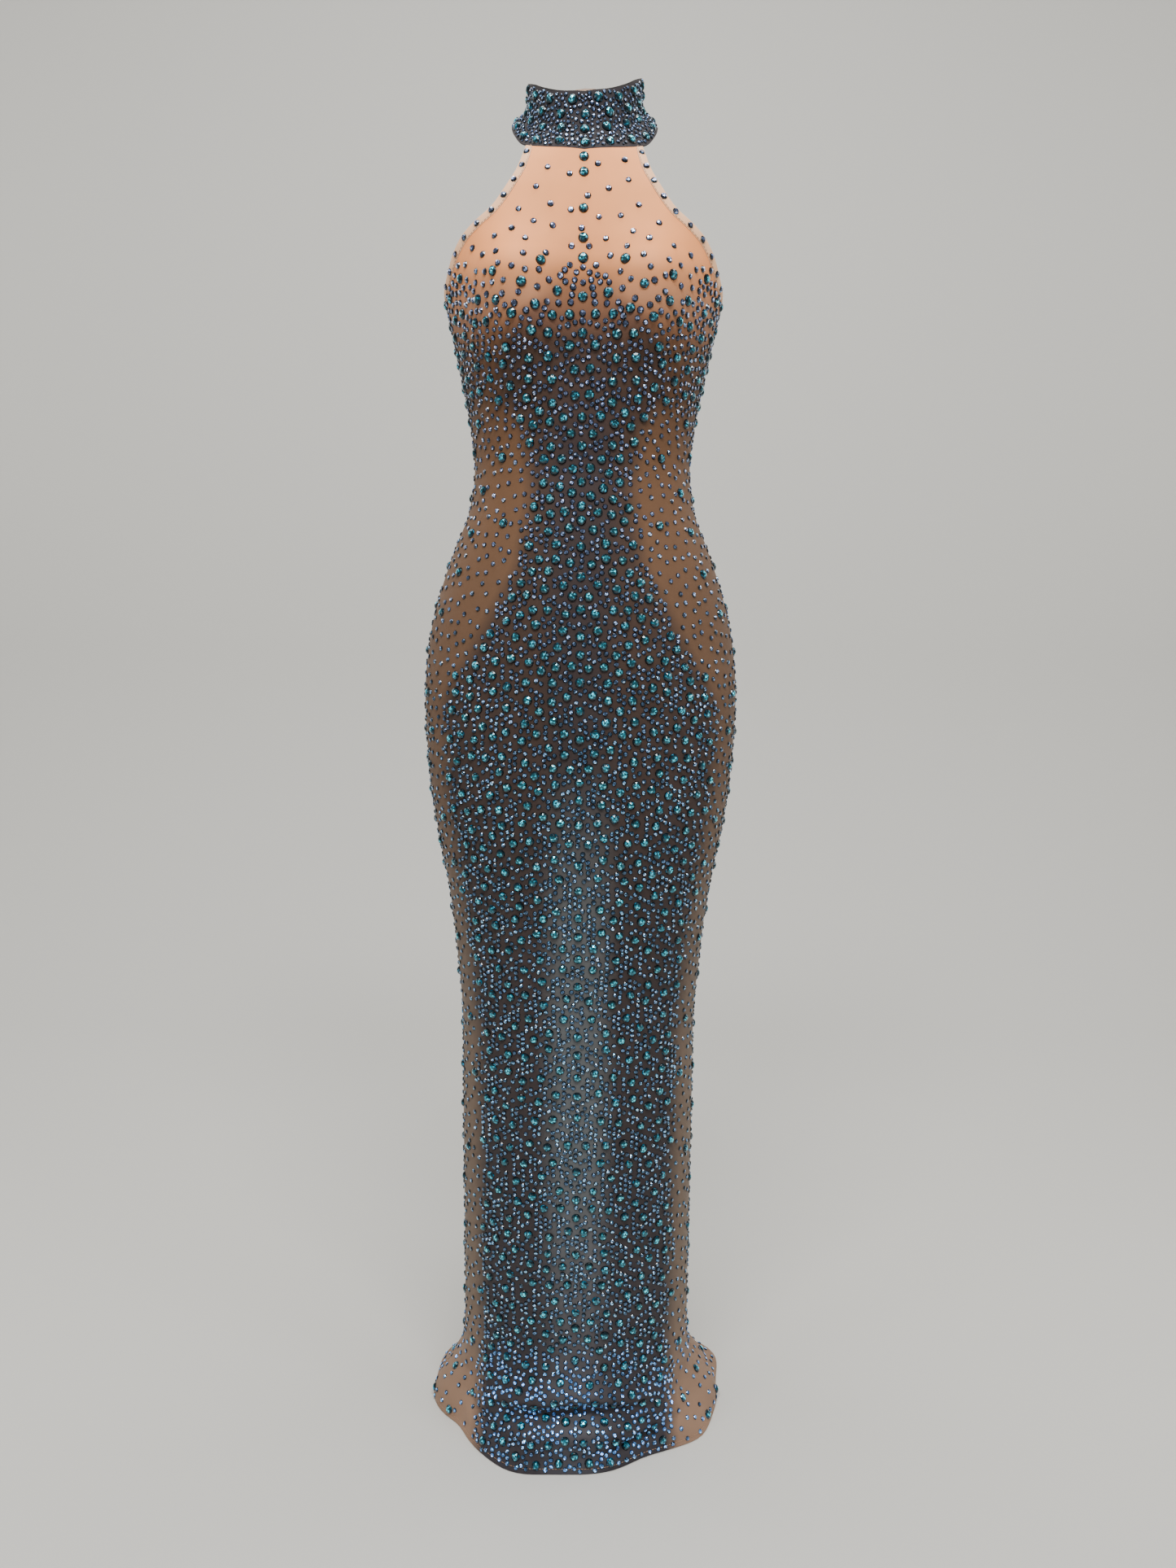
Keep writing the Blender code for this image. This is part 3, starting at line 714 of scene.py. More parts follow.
class Node:
    """Short ways to add and join the nodes of one tree."""

    def __init__(self, tree: Tree) -> None:
        """Keeps the tree that the nodes go in."""
        self.tree = tree

    def add(self, kind: str, inputs: dict | None = None, **settings: object) -> bpy.types.Node:
        """Adds a node.

        Args:
            kind: Blender's name for the node's type.
            inputs: values or sockets for its inputs, by name or number.
            settings: properties of the node itself.

        Returns:
            The new node.
        """
        node = self.tree.nodes.new(kind)
        for name, value in settings.items():
            setattr(node, name, value)
        for key, value in (inputs or {}).items():
            self.link(value, node.inputs[key])
        return node

    def link(self, value: object, socket: Socket) -> None:
        """Joins a socket to another, or sets the other to a plain value."""
        if isinstance(value, Socket):
            self.tree.links.new(value, socket)
        else:
            socket.default_value = value

    def maths(self, operation: str, first: object, second: object = 0.0) -> Socket:
        """The result of one Math node."""
        return self.add("ShaderNodeMath", {0: first, 1: second}, operation=operation).outputs[0]

    def share(
        self, value: object, low: object, high: object, start: float = 0.0, stop: float = 1.0
    ) -> Socket:
        """How far a value is from one level to another, on a scale that starts and stops as given."""
        return self.add("ShaderNodeMapRange", {0: value, 1: low, 2: high, 3: start, 4: stop}).outputs[0]

    def vector(self, x: object = 0.0, y: object = 0.0, z: object = 0.0) -> Socket:
        """A vector of three parts."""
        return self.add("ShaderNodeCombineXYZ", {0: x, 1: y, 2: z}).outputs[0]

    def parts(self, vector: Socket) -> bpy.types.bpy_prop_collection:
        """The three parts of a vector."""
        return self.add("ShaderNodeSeparateXYZ", {0: vector}).outputs

    def place(self, kind: str = "Object") -> Socket:
        """Where the shaded point is, on the object or on its map."""
        return self.add("ShaderNodeTexCoord").outputs[kind]

    def mix(self, share: object, first: object, second: object, blend: str = "MIX") -> Socket:
        """The colour that one Mix node makes of two colours."""
        node = self.add("ShaderNodeMix", data_type="RGBA", blend_type=blend)
        for number, value in ((0, share), (6, first), (7, second)):
            self.link(value, node.inputs[number])
        return node.outputs[2]

    def dim(self, colour: object, bright: Socket) -> Socket:
        """A colour made brighter or darker by one factor."""
        return self.mix(1.0, colour, self.vector(bright, bright, bright), "MULTIPLY")


def opaque(colour: Colour) -> tuple[float, float, float, float]:
    """A colour with full alpha."""
    return (*colour, 1.0)


def label_of(name: str) -> str:
    """The label of the input that takes a field's value."""
    return name.replace("_", " ").title()


class FinishRoom:
    """Makes the gown's materials and the shader groups that they share; levels are from the neck."""

    cloud_scale = 9.0
    cloud_detail = 4.0
    cloud_roughness = 0.55
    cloud_strength = 4.0
    weave_shade = 0.03
    knit_relief = 0.25
    side_fade = 0.018
    centre_fade = (0.044, 0.016)
    # How far the inside face is greyed and darkened, as painted shade.
    inside_fade = (0.0, -0.02)
    inside_saturation = 0.62
    inside_value = 0.92
    cloth_specular = 0.2
    stone_colours = ("rim", "crown", "table", "other_tint", "low_light", "hem_light")
    # Stone colour: the rim's painted shade gives way to the table's painted reflection; then painted
    # glints, and painted light on the skirt and in patches at the hem.
    rim_lift = 0.1
    table_lift = 0.7
    tint_shuffle = 7.31
    dull_facet = 0.30
    glint_light = 7.2
    glint_rarity = 9.0
    skirt_light_fade = (-0.35, -0.65)
    hem_light_fade = (-1.275, -1.325)
    hem_patch_scale = 32.0
    hem_patch_fade = (0.40, 0.60)
    hem_patch_least = 0.15
    least_gloss = 0.5
    stone_coat = 0.6
    stone_coat_roughness = 0.03
    brush_scale = (9000.0, 9000.0, 400.0)
    brush_detail = 2.0
    brush_roughness = (0.6, 1.6)
    brush_shade = (0.82, 1.08)
    brush_depth = 0.00002
    brush_strength = 0.1

    def __init__(self) -> None:
        """Builds the shared groups once."""
        self.knit = self.build_knit()
        self.facets = self.build_facets()
        self.made: dict[str, Material] = {}

    @staticmethod
    def new_group(name: str, given: dict[str, str], results: dict[str, str]) -> tuple[Tree, Node]:
        """An empty shader group with named sockets.

        Args:
            name: the group's name.
            given: the kind of each input, by its label.
            results: the kind of each output, by its label.

        Returns:
            The group and the helper that adds nodes to it.
        """
        group = bpy.data.node_groups.new(name, "ShaderNodeTree")
        for direction, sockets in (("INPUT", given), ("OUTPUT", results)):
            for label, kind in sockets.items():
                group.interface.new_socket(name=label, in_out=direction, socket_type=f"NodeSocket{kind}")
        return group, Node(group)

    def build_knit(self) -> Tree:
        """A fine knit with uneven colour and a little painted shade in the dips of its knit, from a map in
        metres.

        Returns:
            The group.
        """
        group, node = self.new_group(
            "fine_knit",
            {"Colour": "Color", "Pitch": "Float", "Mottle": "Float"},
            {"Colour": "Color", "Height": "Float"},
        )
        given = node.add("NodeGroupInput").outputs
        across = node.maths("DIVIDE", math.tau, given["Pitch"])
        ribs, loops = (
            node.maths("SINE", node.maths("MULTIPLY", part, across))
            for part in node.parts(node.place("UV"))[:2]
        )
        weave = node.maths("MULTIPLY", ribs, loops)
        cloud = node.add("ShaderNodeTexNoise", {
            "Vector": node.place(),
            "Scale": self.cloud_scale,
            "Detail": self.cloud_detail,
            "Roughness": self.cloud_roughness,
        })
        uneven = node.maths("SUBTRACT", cloud.outputs["Fac"], 0.5)
        strength = node.maths("MULTIPLY", given["Mottle"], self.cloud_strength)
        bright = node.maths("ADD", 1.0, node.maths("MULTIPLY", uneven, strength))
        # Painted shade: a little darker in the knit's dips and lighter on its ribs, following its bump.
        bright = node.maths("ADD", bright, node.maths("MULTIPLY", weave, self.weave_shade))
        node.add("NodeGroupOutput", {"Colour": node.dim(given["Colour"], bright), "Height": weave})
        return group

    def build_facets(self) -> Tree:
        """A cut stone's colour and gloss from the attributes that its mesh carries; the colour holds
        painted shade, reflection, glints and light.

        Returns:
            The group.
        """
        colours = dict.fromkeys((label_of(name) for name in self.stone_colours), "Color")
        group, node = self.new_group(
            "facets",
            {**colours, "Tint Share": "Float", "Gloss": "Float"},
            {"Colour": "Color", "Roughness": "Float"},
        )
        given = node.add("NodeGroupInput").outputs
        lift, tint, facet = (
            node.add("ShaderNodeAttribute", attribute_name=label).outputs["Fac"]
            for label in ("lift", "tint", "facet")
        )
        # Painted shade and reflection: dark at the rim, brighter on the crown, brightest on the table.
        colour = node.mix(node.share(lift, self.rim_lift, self.table_lift), given["Rim"], given["Crown"])
        colour = node.mix(node.share(lift, self.table_lift, 1.0), colour, given["Table"])
        tinted = node.maths("MULTIPLY", tint, given["Tint Share"])
        colour = node.mix(tinted, colour, given["Other Tint"])
        # Painted glints: a few facets of each stone are made far brighter than the rest.
        own = node.maths("FRACT", node.maths("ADD", facet, node.maths("MULTIPLY", tint, self.tint_shuffle)))
        painted_glint = node.maths("MULTIPLY", node.maths("POWER", own, self.glint_rarity), self.glint_light)
        colour = node.dim(colour, node.maths("ADD", self.dull_facet, painted_glint))
        # Painted light: stones are tinted and brightened lower on the skirt, and far brighter in patches at
        # the hem.
        level = node.parts(node.place())[2]
        lit = node.mix(node.share(level, *self.skirt_light_fade), opaque(WHITE), given["Low Light"])
        cloud = node.add("ShaderNodeTexNoise", {
            "Vector": node.place(),
            "Scale": self.hem_patch_scale,
            "Detail": 1.0,
        })
        patch = node.share(cloud.outputs["Fac"], *self.hem_patch_fade, self.hem_patch_least)
        hem_painted_light_share = node.maths("MULTIPLY", node.share(level, *self.hem_light_fade), patch)
        lit = node.mix(hem_painted_light_share, lit, given["Hem Light"])
        rough = node.maths("MULTIPLY", given["Gloss"], node.maths("ADD", self.least_gloss, own))
        node.add("NodeGroupOutput", {"Colour": node.mix(1.0, colour, lit, "MULTIPLY"), "Roughness": rough})
        return group

    def start(self, name: str) -> tuple[Material, Node, bpy.types.Node]:
        """A new material, the helper that adds nodes to it, and its shader."""
        material = bpy.data.materials.new(name)
        material.use_nodes = True
        self.made[name] = material
        return material, Node(material.node_tree), material.node_tree.nodes["Principled BSDF"]

    @staticmethod
    def by_height(node: Node, level: Socket, colours: Ramp) -> Socket:
        """The colour that a ramp of heights gives at a level.

        Args:
            node: adds the nodes.
            level: the level, from the neck.
            colours: the ramp, by height above the floor.

        Returns:
            The colour.
        """
        highest = colours[-1][0]
        share = node.share(level, -NECK_HEIGHT, highest - NECK_HEIGHT)
        ramp = node.add("ShaderNodeValToRGB", {0: share})
        stops = ramp.color_ramp.elements
        while len(stops) < len(colours):
            stops.new(0.5)
        for stop, (height, colour) in zip(stops, colours):
            stop.position = height / highest
            stop.color = opaque(colour)
        return ramp.outputs[0]

    def paler_inside(self, node: Node, place: Sequence[Socket], colour: Socket) -> Socket:
        """The same colour outside, and a greyer, slightly darker one where the cloth faces the wearer, as
        painted shade on the inside.

        Args:
            node: adds the nodes.
            place: the three parts of the shaded place.
            colour: the outside's colour.

        Returns:
            The colour for both faces.
        """
        outwards = node.vector(place[0], place[1])
        normal = node.add("ShaderNodeNewGeometry").outputs["True Normal"]
        facing = node.add("ShaderNodeVectorMath", {0: outwards, 1: normal}, operation="DOT_PRODUCT")
        greyer = node.add("ShaderNodeHueSaturation", {
            "Saturation": self.inside_saturation,
            "Value": self.inside_value,
            "Fac": node.share(facing.outputs["Value"], *self.inside_fade),
            "Color": colour,
        })
        return greyer.outputs[0]

    def banded(self, node: Node, place: Sequence[Socket], finish: ClothFinish) -> Socket:
        """A cloth's colour by height, with its own ramps at the sides and down the centre, which for the
        sheer mesh carry partly painted shade.

        Args:
            node: adds the nodes.
            place: the three parts of the shaded place.
            finish: the cloth's finish.

        Returns:
            The colour.
        """
        aside = node.maths("ABSOLUTE", place[0])
        colour = self.by_height(node, place[2], finish.colours)
        if finish.side_colours:
            edges = tuple((zone.height, (zone.core_half_width,) * 3) for zone in STONE_ZONES)
            edge = self.by_height(node, place[2], edges)
            near = node.maths("SUBTRACT", edge, self.side_fade / 2)
            far = node.maths("ADD", edge, self.side_fade / 2)
            side = self.by_height(node, place[2], finish.side_colours)
            colour = node.mix(node.share(aside, near, far), colour, side)
        if finish.centre_colours:
            centre = self.by_height(node, place[2], finish.centre_colours)
            colour = node.mix(node.share(aside, *self.centre_fade), colour, centre)
        return self.paler_inside(node, place, colour)

    def cloth(self, finish: ClothFinish) -> Material:
        """A cloth whose colour changes with its height on the gown.

        Args:
            finish: what the cloth is like.

        Returns:
            The material, made once for each finish.
        """
        if finish.name in self.made:
            return self.made[finish.name]
        material, node, shader = self.start(finish.name)
        place = node.parts(node.place())
        group = node.add("ShaderNodeGroup", node_tree=self.knit)
        colour = self.banded(node, place, finish)
        self.dress(node, group, {"Colour": colour, "Pitch": finish.knit_pitch, "Mottle": finish.mottle})
        bump = node.add("ShaderNodeBump", {
            "Strength": finish.knit_depth,
            "Distance": finish.knit_pitch * self.knit_relief,
            "Height": group.outputs["Height"],
        })
        self.dress(node, shader, {
            "Base Color": group.outputs["Colour"],
            "Normal": bump.outputs[0],
            "Roughness": finish.roughness,
            "Sheen Weight": finish.sheen,
            "Specular IOR Level": self.cloth_specular,
            "Alpha": finish.alpha,
        })
        return material

    @staticmethod
    def dress(node: Node, shader: bpy.types.Node, values: dict[str, object]) -> None:
        """Sets or joins a shader's inputs by name."""
        for label, value in values.items():
            node.link(value, shader.inputs[label])

    def stone(self, finish: StoneFinish) -> Material:
        """A foil-backed cut stone, dark at its rim and bright on its table as painted shade and reflection,
        with painted glints.

        Args:
            finish: what the stone is like.

        Returns:
            The material, made once for each finish.
        """
        if finish.name in self.made:
            return self.made[finish.name]
        material, node, shader = self.start(finish.name)
        group = node.add("ShaderNodeGroup", node_tree=self.facets)
        colours = {label_of(name): opaque(getattr(finish, name)) for name in self.stone_colours}
        self.dress(node, group, {**colours, "Tint Share": finish.tint_share, "Gloss": finish.roughness})
        self.dress(node, shader, {
            "Base Color": group.outputs["Colour"],
            "Roughness": group.outputs["Roughness"],
            "Metallic": finish.metallic,
            "Coat Weight": self.stone_coat,
            "Coat Roughness": self.stone_coat_roughness,
        })
        return material

    def metal(self, finish: MetalFinish) -> Material:
        """A polished metal with fine brushing.

        Args:
            finish: what the metal is like.

        Returns:
            The material, made once for each finish.
        """
        if finish.name in self.made:
            return self.made[finish.name]
        material, node, shader = self.start(finish.name)
        stretched = node.add("ShaderNodeMapping", {0: node.place(), 3: self.brush_scale})
        brushed = node.add("ShaderNodeTexNoise", {
            "Vector": stretched.outputs[0],
            "Scale": 1.0,
            "Detail": self.brush_detail,
        })
        grain = brushed.outputs["Fac"]
        least, most = (finish.roughness * share for share in self.brush_roughness)
        bump = node.add("ShaderNodeBump", {
            "Strength": self.brush_strength,
            "Distance": self.brush_depth,
            "Height": grain,
        })
        self.dress(node, shader, {
            # Painted shade: the colour follows the brushing's bump, darker in its low places and a little
            # lighter on its high ones.
            "Base Color": node.dim(opaque(finish.colour), node.share(grain, 0.0, 1.0, *self.brush_shade)),
            "Roughness": node.share(grain, 0.0, 1.0, least, most),
            "Normal": bump.outputs[0],
            "Metallic": 1.0,
        })
        return material


def show(name: str, mesh: bpy.types.Mesh, material: Material) -> bpy.types.Object:
    """Puts a finished mesh in the scene as a named piece that rides on the gown.

    Args:
        name: the piece's name.
        mesh: its mesh, already in place.
        material: its finish.

    Returns:
        The new object.
    """
    if not mesh.materials:
        mesh.materials.append(material)
    piece = bpy.data.objects.new(name, mesh)
    bpy.context.scene.collection.objects.link(piece)
    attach(piece, GOWN_BODY)
    log.info("%s: %d faces", name, len(mesh.polygons))
    return piece


def wall_mesh(name: str, outside: Array, inside: Array) -> bpy.types.Mesh:
    """One closed body of cloth between two grids of points, with a map in metres.

    Args:
        name: the mesh's name.
        outside: the outer face's points, in rows.
        inside: the inner face's points, in the same rows.

    Returns:
        The mesh, its map's U across the cloth and V along it.
    """
    rows, columns = outside.shape[:2]
    index = np.arange(rows * columns).reshape(rows, columns)
    under = index + rows * columns

    def quads(a: Array, b: Array, c: Array, d: Array) -> Array:
        """Faces of four corners each."""
        return np.stack([a, b, c, d], axis=-1).reshape(-1, 4)

    faces = np.concatenate([
        quads(index[:-1, :-1], index[:-1, 1:], index[1:, 1:], index[1:, :-1]),
        quads(under[:-1, :-1], under[1:, :-1], under[1:, 1:], under[:-1, 1:]),
        quads(index[:-1, 0], index[1:, 0], under[1:, 0], under[:-1, 0]),
        quads(index[:-1, -1], under[:-1, -1], under[1:, -1], index[1:, -1]),
        quads(index[0, :-1], under[0, :-1], under[0, 1:], index[0, 1:]),
        quads(index[-1, :-1], index[-1, 1:], under[-1, 1:], under[-1, :-1]),
    ])
    mesh = bpy.data.meshes.new(name)
    points = np.concatenate([outside.reshape(-1, 3), inside.reshape(-1, 3)])
    mesh.from_pydata(points.tolist(), [], faces.tolist())
    across = np.stack([distance_along(row) for row in outside])
    across = across - across[:, -1:] / 2
    along = distance_along(outside[:, columns // 2])[:, None] + np.zeros((1, columns))
    place = np.stack([across, along], axis=-1).reshape(-1, 2)
    place = np.concatenate([place, place])
    layer = mesh.uv_layers.new(name="metres")
    layer.uv.foreach_set("vector", place[faces.ravel()].astype(np.float32).ravel())
    mesh.shade_smooth()
    mesh.set_sharp_from_angle(angle=SHARP_ANGLE)
    return mesh


@dataclass
class ClothPanels:
    """The front and the two backs, as thin shells that carry the folds and creases."""

    shape: GownShape
    thickness: float = 0.0007
    front_columns: int = 56
    hem_rows: int = 44
    skirt_rows: int = 34
    torso_rows: int = 44
    halter_rows: int = 30
    hem_top: float = 0.120
    skirt_top: float = 0.700
    crowd: float = 1.15
    hem_height: float = 0.0008
    zip_bottom: float = 0.930
    zip_half_opening: float = 0.0035

    def rows(self, front: bool) -> tuple[Array, Array]:
        """Heights and side turns of a panel's rows, from the hem up to the collar seam.

        Args:
            front: whether the front panel is meant, or a back.

        Returns:
            The heights, and the turn of the left side edge at each.
        """
        _, (halter_height, halter_turn) = self.shape.armhole_edges(front, self.halter_rows)
        hem = np.linspace(self.hem_height, self.hem_top, self.hem_rows + 1)
        skirt = np.linspace(self.hem_top, self.skirt_top, self.skirt_rows + 1)[1:]
        to_armhole = np.linspace(1, 0, self.torso_rows + 1)[1:-1] ** self.crowd
        torso = halter_height[-1] - (halter_height[-1] - self.skirt_top) * to_armhole
        below = np.concatenate([hem, skirt, torso])
        heights = np.concatenate([below, halter_height[::-1]])
        turns = np.concatenate([np.full(len(below), math.pi / 2), halter_turn[::-1]])
        return heights, turns

    def turns(self, side: Side) -> tuple[Array, Array]:
        """Heights of a panel's rows, and the turns of the points in each.

        Args:
            side: the panel.

        Returns:
            The heights, and a row of turns for each.
        """
        front = side is Side.FRONT
        heights, side_turns = self.rows(front)
        edge = SEAM_GAP / 2
        table = []
        for height, turn in zip(heights, side_turns):
            if front:
                ends, columns, trims = (-turn, turn), self.front_columns, (edge, edge)
            else:
                behind = self.zip_half_opening if height > self.zip_bottom else edge
                ends, columns, trims = (turn, math.pi), self.front_columns // 2, (edge, behind)
            table.append(self.shape.even_turns(self.shape.body, height, ends, columns, trims))
        turns = np.array(table)
        if side is Side.BACK_RIGHT:
            turns = (2 * math.pi - turns)[:, ::-1]
        return heights, turns

    def make(self, side: Side, material: Material) -> bpy.types.Object:
        """Builds one panel, in place of its solid.

        Args:
            side: the panel.
            material: its cloth.

        Returns:
            The new object.
        """
        heights, turns = self.turns(side)
        along = heights[:, None]
        outside = self.shape.layer(self.shape.body, along, turns, 0.0)
        inside = self.shape.layer(self.shape.body, along, turns, self.thickness)
        node = PANEL_NODES[side]
        mesh = wall_mesh(f"{node}_cloth", outside, inside)
        piece = show(f"{node}_cloth", mesh, material)
        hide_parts(node)
        return piece


@dataclass
class Bindings:
    """The folded strips that edge the armholes, slightly crowned."""

    shape: GownShape
    rows: int = 46
    profile_rows: int = 6
    proud: float = 0.0003
    crown: float = 0.0005
    thickness: float = 0.0019

    def edges(self) -> tuple[Array, Array]:
        """Heights and turns across a left binding, from its inner edge to the armhole.

        Returns:
            The heights and the turns, one row for each line along the binding.
        """
        ahead = self.shape.armhole_edges(True, self.rows)
        behind = self.shape.armhole_edges(False, self.rows)
        (edge_height, edge_turn), (inner_height, inner_turn) = (
            [np.concatenate([front[i], back[i][-2::-1]]) for i in (0, 1)]
            for front, back in zip(ahead, behind)
        )
        start = self.shape.body(inner_height, inner_turn)
        width = np.linalg.norm(self.shape.body(edge_height, edge_turn) - start, axis=-1)
        away = SEAM_GAP / width
        shares = np.linspace(0, 1, self.profile_rows + 1)[:, None]
        shares = away + (1 - away) * shares
        heights = inner_height + (edge_height - inner_height) * shares
        turns = inner_turn + (edge_turn - inner_turn) * shares
        heights[:, [0, -1]] -= SEAM_GAP * 2
        return heights, turns

    def make(self, node: str, sign: int, material: Material) -> bpy.types.Object:
        """Builds one binding, in place of its solid.

        Args:
            node: the solid's name.
            sign: 1 for the left armhole and -1 for the right.
            material: the strip's finish.

        Returns:
            The new object.
        """
        heights, turns = self.edges()
        share = np.linspace(-1, 1, self.profile_rows + 1)[:, None]
        rise = self.proud + self.crown * (1 - share**2) + np.zeros(heights.shape)
        outside = self.shape.layer(self.shape.body, heights, sign * turns, -rise)
        inside = self.shape.layer(self.shape.body, heights, sign * turns, self.thickness - rise)
        if sign < 0:
            outside, inside = outside[:, ::-1], inside[:, ::-1]
        mesh = wall_mesh(f"{node}_cloth", outside, inside)
        piece = show(f"{node}_cloth", mesh, material)
        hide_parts(node)
        return piece


@dataclass
class Collar:
    """The stand collar's cloth, open behind by the width of the zip."""

    shape: GownShape
    columns: int = 132
    rows: int = 14
    thickness: float = 0.0017
    half_opening: float = 0.0035
    taller_in_front: float = 1.25

    def make(self, material: Material) -> bpy.types.Object:
        """Builds the collar, in place of its solid.

        Args:
            material: its cloth.

        Returns:
            The new object.
        """
        shares = np.linspace(0, 1, self.rows + 1)
        trims = (self.half_opening, self.half_opening)
        turns = np.array([
            self.shape.even_turns(self.shape.collar, share, (-math.pi, math.pi), self.columns, trims)
            for share in shares
        ])
        along = shares[:, None]
        outside = self.shape.layer(self.shape.collar, along, turns, 0.0)
        inside = self.shape.layer(self.shape.collar, along, turns, self.thickness)
        mesh = wall_mesh("collar_band_cloth", outside, inside)
        piece = show("collar_band_cloth", mesh, material)
        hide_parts("collar_band")
        return piece


class Scatter:
    """Remembers where stones are, in cubes of space, so that near ones are found quickly."""

    def __init__(self, cube: float) -> None:
        """Starts empty, with cubes of the given size."""
        self.cube = cube
        self.cubes: dict[tuple[int, int, int], list[tuple[float, float, float, float]]] = {}

    def key(self, point: Sequence[float]) -> tuple[int, int, int]:
        """The cube that a point is in."""
        return tuple(int(part // self.cube) for part in point)

    def add(self, point: Sequence[float], radius: float) -> None:
        """Notes a stone of the given radius."""
        self.cubes.setdefault(self.key(point), []).append((*point, radius))

    def is_free(self, point: Sequence[float], radius: float, gap: float, tight: float) -> bool:
        """Whether a stone fits at a point.

        Args:
            point: its middle.
            radius: its radius.
            gap: the least gap to a stone of its own size or smaller.
            tight: the least gap to a larger stone.

        Returns:
            True where no stone is nearer than that.
        """
        x, y, z = point
        widest = radius * 2 + gap
        reach = int(widest // self.cube) + 1
        cube_x, cube_y, cube_z = self.key(point)
        for i in range(cube_x - reach, cube_x + reach + 1):
            for j in range(cube_y - reach, cube_y + reach + 1):
                for k in range(cube_z - reach, cube_z + reach + 1):
                    for other_x, other_y, other_z, other in self.cubes.get((i, j, k), ()):
                        limit = radius + other + (tight if other > radius * LARGER_BY else gap)
                        away = (other_x - x) ** 2 + (other_y - y) ** 2 + (other_z - z) ** 2
                        if away < limit * limit:
                            return False
        return True


@dataclass
class Stones:
    """The places of one group of stones and the way that each faces."""

    points: list[Array] = field(default_factory=list)
    facing: list[Array] = field(default_factory=list)

    def add(self, point: Array, facing: Array) -> None:
        """Adds one stone."""
        self.points.append(point)
        self.facing.append(facing)


@dataclass(frozen=True)
class StoneCut:
    """The size and cut of a kind of stone, its twist and tilt in degrees."""

    radius: float
    sides: int
    levels: int
    table_share: float
    height: float
    bulge: float
    twist: float
    tilt: float
    spread: float
    peak: float

    def inputs(self) -> dict[str, object]:
        """The values that the tree of stones asks for, by their labels."""
        values = {label_of(size.name): getattr(self, size.name) for size in fields(self)}
        return values | {label: math.radians(values[label]) for label in ("Twist", "Tilt")}


SMALL_CUT = StoneCut(0.00275, 7, 1, 0.62, 0.0013, 0.0, 25.7, 7, 0.05, 0.00022)
YOKE_CUT = StoneCut(0.00335, 8, 1, 0.60, 0.0016, 0.0, 22.5, 6, 0.08, 0.00028)
COLLAR_CUT = StoneCut(0.00225, 7, 1, 0.60, 0.0013, 0.0, 25.7, 9, 0.12, 0.00022)
TINY_CUT = StoneCut(0.00145, 6, 1, 0.58, 0.0009, 0.0, 30, 9, 0.10, 0.00015)
LARGE_CUT = StoneCut(0.00505, 12, 2, 0.50, 0.0028, 0.16, 30, 4, 0.05, 0.0005)


